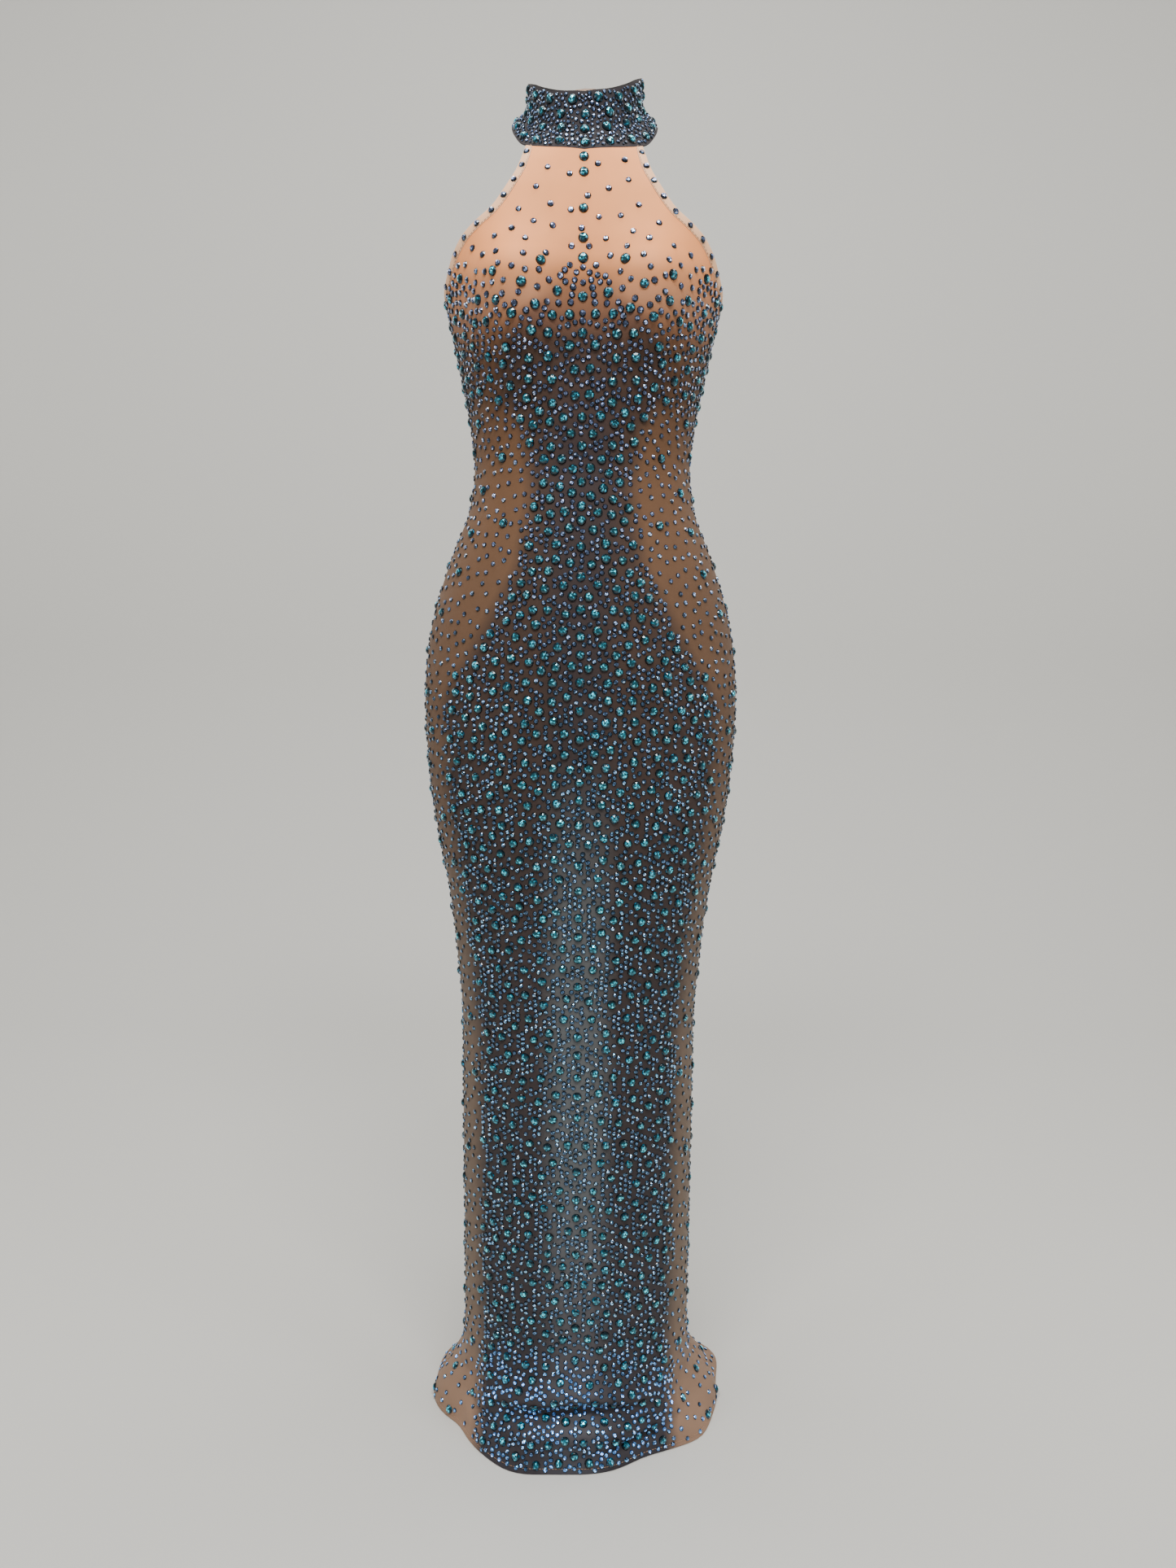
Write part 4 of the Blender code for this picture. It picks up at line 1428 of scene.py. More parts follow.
class TreeBuilder:
    """Geometry Nodes trees for what repeats on the gown."""

    facet_seed = 3
    arch_to_one = 4.0

    def __init__(self) -> None:
        """Builds each tree once."""
        self.stone_tree = self.build_stones()
        self.bar_tree = self.build_bars()

    @staticmethod
    def start(name: str, given: dict[str, str]) -> tuple[Tree, Node, Sequence[Socket]]:
        """A tree that takes a geometry and the named inputs, and gives a geometry.

        Args:
            name: the tree's name.
            given: the kind of each input, by its label.

        Returns:
            The tree, the helper that adds nodes to it, and its inputs.
        """
        tree = bpy.data.node_groups.new(name, "GeometryNodeTree")
        for label, kind in {"Geometry": "Geometry", **given}.items():
            tree.interface.new_socket(name=label, in_out="INPUT", socket_type=f"NodeSocket{kind}")
        tree.interface.new_socket(name="Geometry", in_out="OUTPUT", socket_type="NodeSocketGeometry")
        node = Node(tree)
        return tree, node, node.add("NodeGroupInput").outputs

    @staticmethod
    def finish(node: Node, geometry: Socket, material: Socket) -> None:
        """Ends a tree in real geometry with its material."""
        real = node.add("GeometryNodeRealizeInstances", {0: geometry})
        dressed = node.add("GeometryNodeSetMaterial", {"Geometry": real.outputs[0], "Material": material})
        node.add("NodeGroupOutput", {0: dressed.outputs[0]})

    @staticmethod
    def named(node: Node, label: str, kind: str = "FLOAT") -> Socket:
        """What a point or a mesh carries under a name."""
        return node.add("GeometryNodeInputNamedAttribute", {"Name": label}, data_type=kind).outputs[0]

    @staticmethod
    def store(node: Node, geometry: Socket, label: str, value: Socket, domain: str = "POINT") -> Socket:
        """A geometry that carries one more value under a name."""
        values = {"Geometry": geometry, "Name": label, "Value": value}
        return node.add("GeometryNodeStoreNamedAttribute", values, domain=domain).outputs[0]

    @staticmethod
    def random(node: Node, seed: object, low: object = 0.0, high: object = 1.0) -> Socket:
        """A random number for each element."""
        values = {2: low, 3: high, "Seed": seed}
        return node.add("FunctionNodeRandomValue", values, data_type="FLOAT").outputs[1]

    def cut_stone(self, node: Node, ask: Sequence[Socket]) -> Socket:
        """One stone: a cone cut off at its table, swollen, peaked and twisted, with marked facets.

        Args:
            node: adds the nodes.
            ask: the tree's inputs.

        Returns:
            The stone's geometry.
        """
        table_radius = node.maths("MULTIPLY", ask["Radius"], ask["Table Share"])
        cone = node.add("GeometryNodeMeshCone", {
            "Vertices": ask["Sides"],
            "Side Segments": ask["Levels"],
            "Radius Top": table_radius,
            "Radius Bottom": ask["Radius"],
            "Depth": ask["Height"],
        }, fill_type="TRIANGLE_FAN")
        place = node.add("GeometryNodeInputPosition").outputs[0]
        parts = node.parts(place)
        level = node.maths("DIVIDE", parts[2], ask["Height"])
        marked = self.store(node, cone.outputs["Mesh"], "lift", level)
        lift = self.named(node, "lift")
        arch = node.maths("MULTIPLY", lift, node.maths("SUBTRACT", 1.0, lift))
        arch = node.maths("MULTIPLY", arch, self.arch_to_one)
        wider = node.maths("ADD", 1.0, node.maths("MULTIPLY", arch, ask["Bulge"]))
        sizes = node.vector(wider, wider, 1.0)
        swollen = node.add("ShaderNodeVectorMath", {0: place, 1: sizes}, operation="MULTIPLY")
        away = node.add("ShaderNodeVectorMath", {0: node.vector(parts[0], parts[1])}, operation="LENGTH")
        reach = node.maths("MINIMUM", node.maths("DIVIDE", away.outputs["Value"], table_radius), 1.0)
        inner = node.maths("MULTIPLY", node.maths("SUBTRACT", 1.0, reach), lift)
        point = node.vector(z=node.maths("MULTIPLY", inner, ask["Peak"]))
        peaked = node.add("ShaderNodeVectorMath", {0: swollen.outputs[0], 1: point}, operation="ADD")
        turned = node.add("ShaderNodeVectorRotate", {
            "Vector": peaked.outputs[0],
            "Angle": node.maths("MULTIPLY", ask["Twist"], lift),
        }, rotation_type="Z_AXIS")
        cut = node.add("GeometryNodeSetPosition", {"Geometry": marked, "Position": turned.outputs[0]})
        return self.store(node, cut.outputs[0], "facet", self.random(node, self.facet_seed), "FACE")

    def stone_rotation(self, node: Node, ask: Sequence[Socket]) -> Socket:
        """A rotation that faces out from the cloth, turned any way round and a little tilted.

        Args:
            node: adds the nodes.
            ask: the tree's inputs.

        Returns:
            The rotation of each stone.
        """
        facing = self.named(node, "facing", "FLOAT_VECTOR")
        upright = node.add("FunctionNodeAlignRotationToVector", {"Vector": facing}, axis="Z")
        back = node.maths("MULTIPLY", ask["Tilt"], -1.0)
        sway = node.add("FunctionNodeRandomValue", {
            0: node.vector(back, back),
            1: node.vector(ask["Tilt"], ask["Tilt"], math.tau),
            "Seed": ask["Seed"],
        }, data_type="FLOAT_VECTOR")
        turn = node.add("FunctionNodeEulerToRotation", {0: sway.outputs[0]})
        rotation = node.add("FunctionNodeRotateRotation", {
            0: upright.outputs[0],
            1: turn.outputs[0],
        }, rotation_space="LOCAL")
        return rotation.outputs[0]

    def build_stones(self) -> Tree:
        """A cut stone on each point, facing out, each turned and tilted a little differently.

        Returns:
            The tree.
        """
        sizes = ("Radius", "Table Share", "Height", "Bulge", "Peak", "Twist", "Tilt", "Spread")
        given = {**dict.fromkeys(sizes, "Float"), **dict.fromkeys(("Sides", "Levels", "Seed"), "Int")}
        tree, node, ask = self.start("set_stones", {**given, "Material": "Material"})
        least = node.maths("SUBTRACT", 1.0, ask["Spread"])
        most = node.maths("ADD", 1.0, ask["Spread"])
        placed = node.add("GeometryNodeInstanceOnPoints", {
            "Points": ask["Geometry"],
            "Instance": self.cut_stone(node, ask),
            "Rotation": self.stone_rotation(node, ask),
            "Scale": self.random(node, node.maths("ADD", ask["Seed"], 1.0), least, most),
        })
        tint = self.random(node, node.maths("ADD", ask["Seed"], 2.0))
        tinted = self.store(node, placed.outputs[0], "tint", tint, "INSTANCE")
        self.finish(node, tinted, ask["Material"])
        return tree

    def build_bars(self) -> Tree:
        """A round bar on each point, lying on the cloth and turned from the line that it follows.

        Returns:
            The tree.
        """
        given = {**dict.fromkeys(("Radius", "Length", "Turn"), "Float"), "Sides": "Int"}
        tree, node, ask = self.start("lay_bars", {**given, "Material": "Material"})
        bar = node.add("GeometryNodeMeshCylinder", {
            "Vertices": ask["Sides"],
            "Radius": ask["Radius"],
            "Depth": ask["Length"],
        })
        facing = self.named(node, "facing", "FLOAT_VECTOR")
        turned = node.add("ShaderNodeVectorRotate", {
            "Vector": self.named(node, "along", "FLOAT_VECTOR"),
            "Axis": facing,
            "Angle": ask["Turn"],
        }, rotation_type="AXIS_ANGLE")
        rotation = node.add("FunctionNodeAxesToRotation", {
            0: turned.outputs[0],
            1: facing,
        }, primary_axis="Z", secondary_axis="X")
        placed = node.add("GeometryNodeInstanceOnPoints", {
            "Points": ask["Geometry"],
            "Instance": bar.outputs[0],
            "Rotation": rotation.outputs[0],
        })
        self.finish(node, placed.outputs[0], ask["Material"])
        return tree

    @staticmethod
    def grow(
        name: str,
        tree: Tree,
        points: Array,
        directions: dict[str, Array],
        values: dict[str, object],
    ) -> bpy.types.Mesh:
        """Runs a tree on a set of points and keeps the result as a plain mesh.

        Args:
            name: the mesh's name.
            tree: the tree to run.
            points: the points that it builds on.
            directions: vectors that the points carry, by attribute name.
            values: the tree's inputs, by name.

        Returns:
            The finished mesh.
        """
        seeds = bpy.data.meshes.new(f"{name}_seeds")
        seeds.from_pydata(points.tolist(), [], [])
        for label, vectors in directions.items():
            layer = seeds.attributes.new(label, "FLOAT_VECTOR", "POINT")
            layer.data.foreach_set("vector", vectors.astype(np.float32).ravel())
        holder = bpy.data.objects.new(f"{name}_seeds", seeds)
        bpy.context.scene.collection.objects.link(holder)
        modifier = holder.modifiers.new("grow", "NODES")
        modifier.node_group = tree
        for item in tree.interface.items_tree:
            if item.item_type == "SOCKET" and item.in_out == "INPUT" and item.name in values:
                modifier[item.identifier] = values[item.name]
        graph = bpy.context.evaluated_depsgraph_get()
        mesh = bpy.data.meshes.new_from_object(
            holder.evaluated_get(graph), preserve_all_data_layers=True, depsgraph=graph
        )
        mesh.name = name
        for label in directions:
            if label in mesh.attributes:
                mesh.attributes.remove(mesh.attributes[label])
        bpy.data.objects.remove(holder)
        bpy.data.meshes.remove(seeds)
        return mesh


class StonePlan:
    """Decides where every stone goes, zone by zone, with a fixed seed."""

    seed = 20
    cube = 0.009
    clearance = 0.0001
    tight = 0.0002
    margin = 0.0027
    tries_per_stone = 11
    grid_rows = 460
    grid_columns = 150
    zone_fade = 0.016
    edge_gap = 0.0009
    string_gap = 0.0003
    string_widest_gap = 0.0006
    string_bottom = 0.006
    string_top = 1.200
    string_lines = 60
    string_wander = 0.0012
    string_sway = (0.031, 25)
    string_rise = (0.021, 30)
    string_jitter = 0.00022
    string_end_jitter = 0.0015
    string_squeeze = 0.00005
    typical_radius = 0.1
    zip_foot = 0.004
    large_lowest = 0.0085
    large_from_zip = 0.0055
    large_jitter = 0.0012
    no_large_spacing = 0.3
    centred_within = 0.9
    yoke_starts = 1.222
    fountain_top = 1.274
    fountain_drop = 0.062
    fountain_spread = 0.0145
    fountain_strings = 3
    fountain_step = 0.0069
    binding_ends = (0.012, 0.010)
    binding_pitch = 0.0185
    binding_gap = 0.002
    collar_rows = (0.13, 0.38, 0.63, 0.87)
    collar_pitch = 0.0245
    collar_ends = 0.013
    collar_jitter = (0.0008, 0.012)
    collar_tries = 26000
    collar_shares = (0.045, 0.955)
    collar_zip_half_width = 0.0075

    def __init__(self, shape: GownShape, panels: ClothPanels) -> None:
        """Keeps the surfaces that the stones lie on, and starts with no stone set."""
        self.shape = shape
        self.panels = panels
        self.zones = np.array(STONE_ZONES)
        self.random = np.random.default_rng(self.seed)
        self.scatter = Scatter(self.cube)

    def zone(self, height: Array, x: Array) -> tuple[Array, Array]:
        """The gap between small stones and the spacing of large ones at a place.

        Args:
            height: heights above the floor.
            x: how far each place is from the centre.

        Returns:
            The gaps and the spacings.
        """
        column = [np.interp(height, self.zones[:, 0], self.zones[:, i]) for i in range(1, 7)]
        core, edge, core_gap, side_gap, core_large, side_large = column
        core = core + self.core_sway(height)
        out = np.clip((np.abs(x) - core) / self.zone_fade + 0.5, 0, 1)
        back_in = np.clip((np.abs(x) - edge) / self.zone_fade + 0.5, 0, 1)
        share = out * (1 - back_in)
        gap = core_gap + (side_gap - core_gap) * share
        edge_gap = self.edge_gap + (side_gap - self.edge_gap) * (1 - back_in)
        gap = np.where(back_in > 0, np.minimum(gap, edge_gap), gap)
        large = core_large + (side_large - core_large) * share
        return gap, large

    @staticmethod
    def core_sway(height: Array) -> Array:
        """How far the dense middle's edge wanders at a height."""
        return sum(wave.depth * np.sin(height / wave.length + wave.start) for wave in EDGE_WAVES)

    def place(self, surface: Surface, along: Array, turn: Array, proud: float = 0.0) -> tuple[Array, Array]:
        """Points just proud of a surface, and the way that each faces."""
        facing = self.shape.facing(surface, along, turn)
        return surface(along, turn) + facing * (self.clearance + proud), facing

    def radius(self, level: Array, turn: Array) -> Array:
        """How far the panels are from the gown's upright middle line."""
        return np.linalg.norm(self.shape.body(level, turn)[:, :2], axis=-1)

    def panel_grid(self, side: Side) -> tuple[Array, Array]:
        """Heights of a grid's rows over a panel, short of its edges, and the turns in each.

        Args:
            side: the panel.

        Returns:
            The heights, and a row of turns for each.
        """
        front = side is Side.FRONT
        heights, side_turns = self.panels.rows(front)
        level = np.linspace(heights[0] + self.margin, heights[-1] - self.margin, self.grid_rows)
        edge = np.interp(level, heights, side_turns)
        away = self.margin / self.radius(level, edge)
        if front:
            return level, (edge - away)[:, None] * np.linspace(-1, 1, self.grid_columns)
        opening = self.panels.zip_half_opening + self.margin
        inner = np.where(level > self.panels.zip_bottom, opening, self.margin)
        start = edge + away
        stop = math.pi - inner / self.radius(level, np.full(level.shape, math.pi))
        turns = start[:, None] + (stop - start)[:, None] * np.linspace(0, 1, self.grid_columns)
        return level, 2 * math.pi - turns if side is Side.BACK_RIGHT else turns

    def panel_candidates(self, side: Side) -> Spots:
        """Random heights, turns and points on a panel, more of them where stones are set closer.

        Args:
            side: the panel.

        Returns:
            The heights, the turns and the points.
        """
        level, turns = self.panel_grid(side)
        grid = self.shape.body(level[:, None], turns)
        down = np.linalg.norm(np.diff(grid, axis=0), axis=-1)[:, :-1]
        across = np.linalg.norm(np.diff(grid, axis=1), axis=-1)[:-1]
        area = down * across
        gap, _ = self.zone(level[:-1, None] + np.zeros(area.shape), grid[:-1, :-1, 0])
        pitch = SMALL_CUT.radius * 2 + gap
        wanted = area / pitch**2
        count = int(wanted.sum() * self.tries_per_stone)
        chosen = self.random.choice(wanted.size, size=count, p=wanted.ravel() / wanted.sum())
        row, column = np.divmod(chosen, wanted.shape[1])
        part = self.random.random((2, count))
        height = level[row] + (level[row + 1] - level[row]) * part[0]
        low, high = (
            turns[line, column] + (turns[line, column + 1] - turns[line, column]) * part[1]
            for line in (row, row + 1)
        )
        turn = low + (high - low) * part[0]
        return height, turn, self.shape.body(height, turn)

    def set_large(self, candidates: dict[Side, Spots]) -> dict[Side, Stones]:
        """Large stones, the same on the left and the right, as a maker sets them.

        Args:
            candidates: heights, turns and points to try on each panel.

        Returns:
            The large stones of each panel.
        """
        placed = {side: Stones() for side in Side}
        zip_edge = self.panels.zip_half_opening + self.large_from_zip
        for side in (Side.FRONT, Side.BACK_LEFT):
            front = side is Side.FRONT
            other = Side.FRONT if front else Side.BACK_RIGHT
            middle = 0.0 if front else math.pi
            heights, turns, points = candidates[side]
            _, spacing = self.zone(heights, points[:, 0])
            for height, turn, point, pitch in zip(heights, turns, points, spacing):
                if pitch > self.no_large_spacing or point[0] < 0 or height < self.large_lowest:
                    continue
                if not front and height > self.panels.zip_bottom and point[0] < zip_edge:
                    continue
                apart = pitch - LARGE_CUT.radius * 2
                twin = 2 * middle - turn
                central = point[0] * 2 < pitch * self.centred_within
                if central:
                    turn = middle
                    point = self.shape.body(np.array(height), np.array(turn))
                free = self.scatter.is_free(point, LARGE_CUT.radius, apart, apart)
                if (central and not front) or not free:
                    continue
                mirror_height = max(height + self.random.normal(0, self.large_jitter), self.large_lowest)
                self.set_one(placed[side], self.shape.body, height, turn)
                if not central:
                    self.set_one(placed[other], self.shape.body, mirror_height, twin)
        return placed

    def set_one(self, placed: Stones, surface: Surface, along: float, turn: float) -> None:
        """Sets one large stone and notes that its place is taken."""
        spot, facing = self.place(surface, np.array(along), np.array(turn))
        self.scatter.add(spot.tolist(), LARGE_CUT.radius)
        placed.add(spot, facing)

    def set_yoke(self, placed: Stones) -> None:
        """The line of large stones down the centre of the yoke, and the pair at its foot."""
        for stone in YOKE_STONES:
            depth = self.shape.section(np.array(stone.height))[1]
            self.set_one(placed, self.shape.body, stone.height, np.arctan2(stone.aside, depth))

    def set_strings(self, side: Side, placed: Stones) -> None:
        """Close-set upright strings of small stones over the middle of the hips and the skirt.

        Args:
            side: the panel.
            placed: where the stones are noted.
        """
        middle = 0.0 if side is Side.FRONT else math.pi
        pitch = SMALL_CUT.radius * 2 + self.string_gap
        column = pitch * math.sqrt(3) / 2
        turns = np.linspace(0, math.pi / 2, CURVE_SAMPLES)
        (sway_length, sway_slant), (rise_length, rise_slant) = self.string_sway, self.string_rise
        height, odd = self.string_bottom, 0
        while height < self.string_top:
            around = middle - turns if middle else turns
            distance = distance_along(self.shape.body(np.full(turns.shape, height), around))
            core, gap = (np.interp(height, self.zones[:, 0], self.zones[:, i]) for i in (1, 3))
            edge = core + self.core_sway(height)
            for line in range(-self.string_lines, self.string_lines + 1):
                if (line + odd) % 2 or gap > self.string_widest_gap:
                    continue
                across = line * column
                moved = across + self.string_wander * math.sin(height / sway_length + across * sway_slant)
                rise = self.string_wander * math.sin(across / rise_length + height * rise_slant)
                swing = math.copysign(np.interp(abs(moved), distance, turns), moved)
                turn = swing if side is Side.FRONT else middle - swing
                if (side is Side.BACK_LEFT and swing <= 0) or (side is Side.BACK_RIGHT and swing >= 0):
                    continue
                self.set_string_stone(side, (height, rise, turn), edge, placed)
            slope = self.shape.body(np.array([height, height + pitch / 2]), np.array([middle, middle]))
            height += (pitch / 2) ** 2 / np.linalg.norm(slope[1] - slope[0])
            odd = 1 - odd

    def set_string_stone(
        self, side: Side, place: tuple[float, float, float], edge: float, placed: Stones
    ) -> None:
        """Sets one stone of a string, a little out of line, where the string and the zip leave room.

        Args:
            side: the panel.
            place: the string's height, the stone's rise from it, and its turn.
            edge: how far from the centre the strings reach.
            placed: where the stones are noted.
        """
        height, rise, turn = place
        shift = self.random.normal(0, self.string_jitter, 2)
        level = np.array(height + rise + shift[0])
        angle = np.array(turn + shift[1] / self.typical_radius)
        aside = abs(self.shape.body(level, angle)[0])
        near_zip = side is not Side.FRONT and height > self.panels.zip_bottom - self.zip_foot
        clear = self.margin + (self.panels.zip_half_opening if near_zip else 0.0)
        edge = edge + self.random.normal(0, self.string_end_jitter)
        if aside <= edge and (side is Side.FRONT or aside >= clear):
            self.try_small(level, angle, self.shape.body, SMALL_CUT.radius, self.string_squeeze, placed)

    def set_fountain(self, placed: Stones) -> None:
        """Strings of stones that open like a fountain between the cups.

        Args:
            placed: where the stones are noted.
        """
        fall = np.linspace(0, 1, CURVE_SAMPLES)
        height = self.fountain_top - self.fountain_drop * fall
        depth = self.shape.section(height)[1]
        for line in range(-self.fountain_strings, self.fountain_strings + 1):
            turn = np.arctan2(line * self.fountain_spread * np.sqrt(fall), depth)
            distance = distance_along(self.shape.body(height, turn))
            for wanted in np.arange(0, distance[-1], self.fountain_step):
                level, angle = (np.array(np.interp(wanted, distance, row)) for row in (height, turn))
                self.try_small(level, angle, self.shape.body, YOKE_CUT.radius, 0.0, placed)

    def try_small(
        self,
        along: Array,
        turn: Array,
        surface: Surface,
        radius: float,
        gap: float,
        placed: Stones,
        proud: float = 0.0,
    ) -> None:
        """Sets one small stone where there is room for it.

        Args:
            along: its height or share.
            turn: its turn.
            surface: the body or the collar.
            radius: its radius.
            gap: the least gap to another of its size.
            placed: where the stone is noted.
            proud: how far what it lies on stands out from the surface.
        """
        spot, facing = self.place(surface, along, turn, proud)
        point = spot.tolist()
        if self.scatter.is_free(point, radius, gap, self.tight):
            self.scatter.add(point, radius)
            placed.add(spot, facing)

    def fill_small(self, candidate: Spots, placed: Stones, yoke: Stones) -> None:
        """Fills a panel with small stones as closely as its zones ask, a size larger on the yoke.

        Args:
            candidate: heights, turns and points to try.
            placed: where the small stones are noted.
            yoke: where the yoke's are.
        """
        heights, turns, _ = candidate
        points, facing = self.place(self.shape.body, heights, turns)
        gap, _ = self.zone(heights, points[:, 0])
        on_yoke = heights > self.yoke_starts
        for point, out, space, high in zip(points.tolist(), facing, gap.tolist(), on_yoke.tolist()):
            radius = YOKE_CUT.radius if high else SMALL_CUT.radius
            if self.scatter.is_free(point, radius, space, self.tight):
                self.scatter.add(point, radius)
                (yoke if high else placed).add(np.array(point), out)

    def set_binding(self, bindings: Bindings, sign: int, placed: Stones) -> None:
        """Single stones along the middle of a binding.

        Args:
            bindings: both bindings.
            sign: 1 for the left armhole and -1 for the right.
            placed: where the stones are noted.
        """
        height, turn = (rows[len(rows) // 2] for rows in bindings.edges())
        distance = distance_along(self.shape.body(height, turn))
        proud = bindings.proud + bindings.crown
        start, stop = self.binding_ends
        for wanted in np.arange(start, distance[-1] - stop, self.binding_pitch):
            level = np.array(np.interp(wanted, distance, height))
            angle = sign * np.interp(wanted, distance, turn)
            self.try_small(level, angle, self.shape.body, YOKE_CUT.radius, self.binding_gap, placed, proud)

    def set_collar(self, large: Stones, small: Stones, tiny: Stones) -> None:
        """Four staggered rows of large stones round the collar, then small and tiny ones between them.

        Args:
            large: where the large stones are noted.
            small: where the small ones are.
            tiny: where the tiny ones are.
        """
        dense = np.linspace(-math.pi, math.pi, CURVE_SAMPLES * 4)
        along_jitter, share_jitter = self.collar_jitter
        for row, share in enumerate(self.collar_rows):
            distance = distance_along(self.shape.collar(np.full(dense.shape, share), dense))
            length = distance[-1]
            count = round(length / self.collar_pitch)
            for number in range(count):
                wanted = length * (number + (0.5 if row % 2 else 0.0)) / count
                wanted += self.random.normal(0, along_jitter)
                if self.collar_ends <= wanted <= length - self.collar_ends:
                    turn = np.interp(wanted, distance, dense)
                    level = share + self.random.normal(0, share_jitter)
                    self.set_one(large, self.shape.collar, level, turn)
        shares = self.random.uniform(*self.collar_shares, self.collar_tries)
        turns = self.random.uniform(-math.pi, math.pi, self.collar_tries)
        points, facing = self.place(self.shape.collar, shares, turns)
        behind = (points[:, 1] > 0) & (np.abs(points[:, 0]) < self.collar_zip_half_width)
        for cut, placed in ((COLLAR_CUT, small), (TINY_CUT, tiny)):
            for point, out, hidden in zip(points.tolist(), facing, behind):
                if not hidden and self.scatter.is_free(point, cut.radius, self.clearance, self.clearance):
                    self.scatter.add(point, cut.radius)
                    placed.add(np.array(point), out)


@dataclass
class StoneSetting:
    """Sets the planned stones as faceted meshes, in pieces of a handy size."""

    trees: TreeBuilder
    finishes: FinishRoom
    most_small: int = 6800

    def make(self, name: str, stones: Stones, cut: StoneCut, finish: StoneFinish, seed: int) -> None:
        """Builds one group of stones, split from the floor upwards where it is large.

        Args:
            name: the name that its pieces start with.
            stones: where the stones go.
            cut: their size and shape.
            finish: their colours.
            seed: what their small differences start from.
        """
        if not stones.points:
            return
        points = np.array(stones.points)
        facing = np.array(stones.facing)
        order = np.argsort(points[:, 2])
        parts = np.array_split(order, math.ceil(len(order) / self.most_small))
        material = self.finishes.stone(finish)
        for number, part in enumerate(parts):
            label = name if len(parts) == 1 else f"{name}_{number + 1}"
            values = {**cut.inputs(), "Seed": seed + number, "Material": material}
            carried = {"facing": facing[part]}
            mesh = self.trees.grow(label, self.trees.stone_tree, points[part], carried, values)
            show(label, mesh, material)
            log.info("%s: %d stones", label, len(part))


@dataclass
class Needlework:
    """The stitching along the seams, the bindings, the zip and the hem."""

    shape: GownShape
    panels: ClothPanels
    bindings: Bindings
    trees: TreeBuilder
    pitch: float = 0.0036
    stitch_length: float = 0.0024
    stitch_radius: float = 0.00024
    beside: float = 0.0016
    sides: int = 5
    side_points: int = 300
    below_zip_points: int = 200
    beside_zip_points: int = 140
    hem_points: int = 600
    end_clear: float = 0.004
    above_hem: float = 0.001
    under_arm_clear: float = 0.002
    from_inner_edge: float = 0.6
    crown_share: float = 0.5

    def row(self, surface: Surface, along: Array, turn: Array, proud: float) -> Spots:
        """Evenly spaced stitches along a line on a surface.

        Args:
            surface: the surface that they lie on.
            along: the line's heights or shares.
            turn: the line's turns.
            proud: how far the surface that they lie on stands out there.

        Returns:
            Their places, the way that each faces and the way that each runs.
        """
        distance = distance_along(surface(along, turn))
        wanted = np.arange(self.pitch / 2, distance[-1], self.pitch)
        level = np.interp(wanted, distance, along)
        angle = np.interp(wanted, distance, turn)
        facing = self.shape.facing(surface, level, angle)
        points = surface(level, angle) + facing * proud
        run = np.gradient(points, axis=0)
        run = run / np.linalg.norm(run, axis=-1, keepdims=True)
        return points, facing, run

    def side_seams(self, low: float) -> list[Spots]:
        """Two rows of stitches down each side seam.

        Args:
            low: the height that they stop at.

        Returns:
            The rows.
        """
        top = self.shape.armhole[-1, 0] - self.shape.binding_width - self.under_arm_clear
        seam = np.linspace(low, top, self.side_points)
        radius = self.shape.section(seam)[0]
        return [
            self.row(self.shape.body, seam, sign * (math.pi / 2 + offset / radius), self.stitch_radius)
            for sign in (-1, 1)
            for offset in (-self.beside, self.beside)
        ]

    def binding_rows(self) -> list[Spots]:
        """One row along each binding, near its inner edge.

        Returns:
            The rows.
        """
        heights, turns = self.bindings.edges()
        share = self.from_inner_edge
        height = heights[1] * share + heights[0] * (1 - share)
        turn = turns[1] * share + turns[0] * (1 - share)
        proud = self.bindings.proud + self.bindings.crown * self.crown_share + self.stitch_radius
        return [self.row(self.shape.body, height, sign * turn, proud) for sign in (-1, 1)]

    def back_seams(self, low: float) -> list[Spots]:
        """One row on each side of the centre back, close to the seam below and to the zip above.

        Args:
            low: the height that they stop at.

        Returns:
            The rows.
        """
        foot = self.panels.zip_bottom
        top = self.panels.rows(True)[0][-1] - self.end_clear
        below = np.linspace(low, foot, self.below_zip_points)
        above = np.linspace(foot + self.end_clear, top, self.beside_zip_points)
        beside_zip = self.panels.zip_half_opening + self.beside
        rows = []
        for sign in (-1, 1):
            for run, away in ((below, self.beside), (above, beside_zip)):
                turn = math.pi + sign * away / self.shape.section(run)[2]
                rows.append(self.row(self.shape.body, run, turn, self.stitch_radius))
        return rows

    def hem(self, low: float) -> list[Spots]:
        """One row round the hem."""
        turn = np.linspace(-math.pi, math.pi, self.hem_points)
        height = np.full(turn.shape, low + self.above_hem)
        return [self.row(self.shape.body, height, turn, self.stitch_radius)]

    def make(self, material: Material) -> None:
        """Builds the stitches, each kind of seam as one piece.

        Args:
            material: the thread's finish.
        """
        low = self.panels.hem_height + self.end_clear
        sizes = {"Radius": self.stitch_radius, "Length": self.stitch_length, "Sides": self.sides}
        pieces = {
            "side_seam_stitching": self.side_seams(low),
            "binding_stitching": self.binding_rows(),
            "back_seam_stitching": self.back_seams(low),
            "hem_stitching": self.hem(low),
        }
        for name, rows in pieces.items():
            points, facing, along = (np.concatenate(parts) for parts in zip(*rows))
            carried = {"facing": facing, "along": along}
            dressed = {**sizes, "Turn": 0.0, "Material": material}
            mesh = self.trees.grow(name, self.trees.bar_tree, points, carried, dressed)
            show(name, mesh, material)


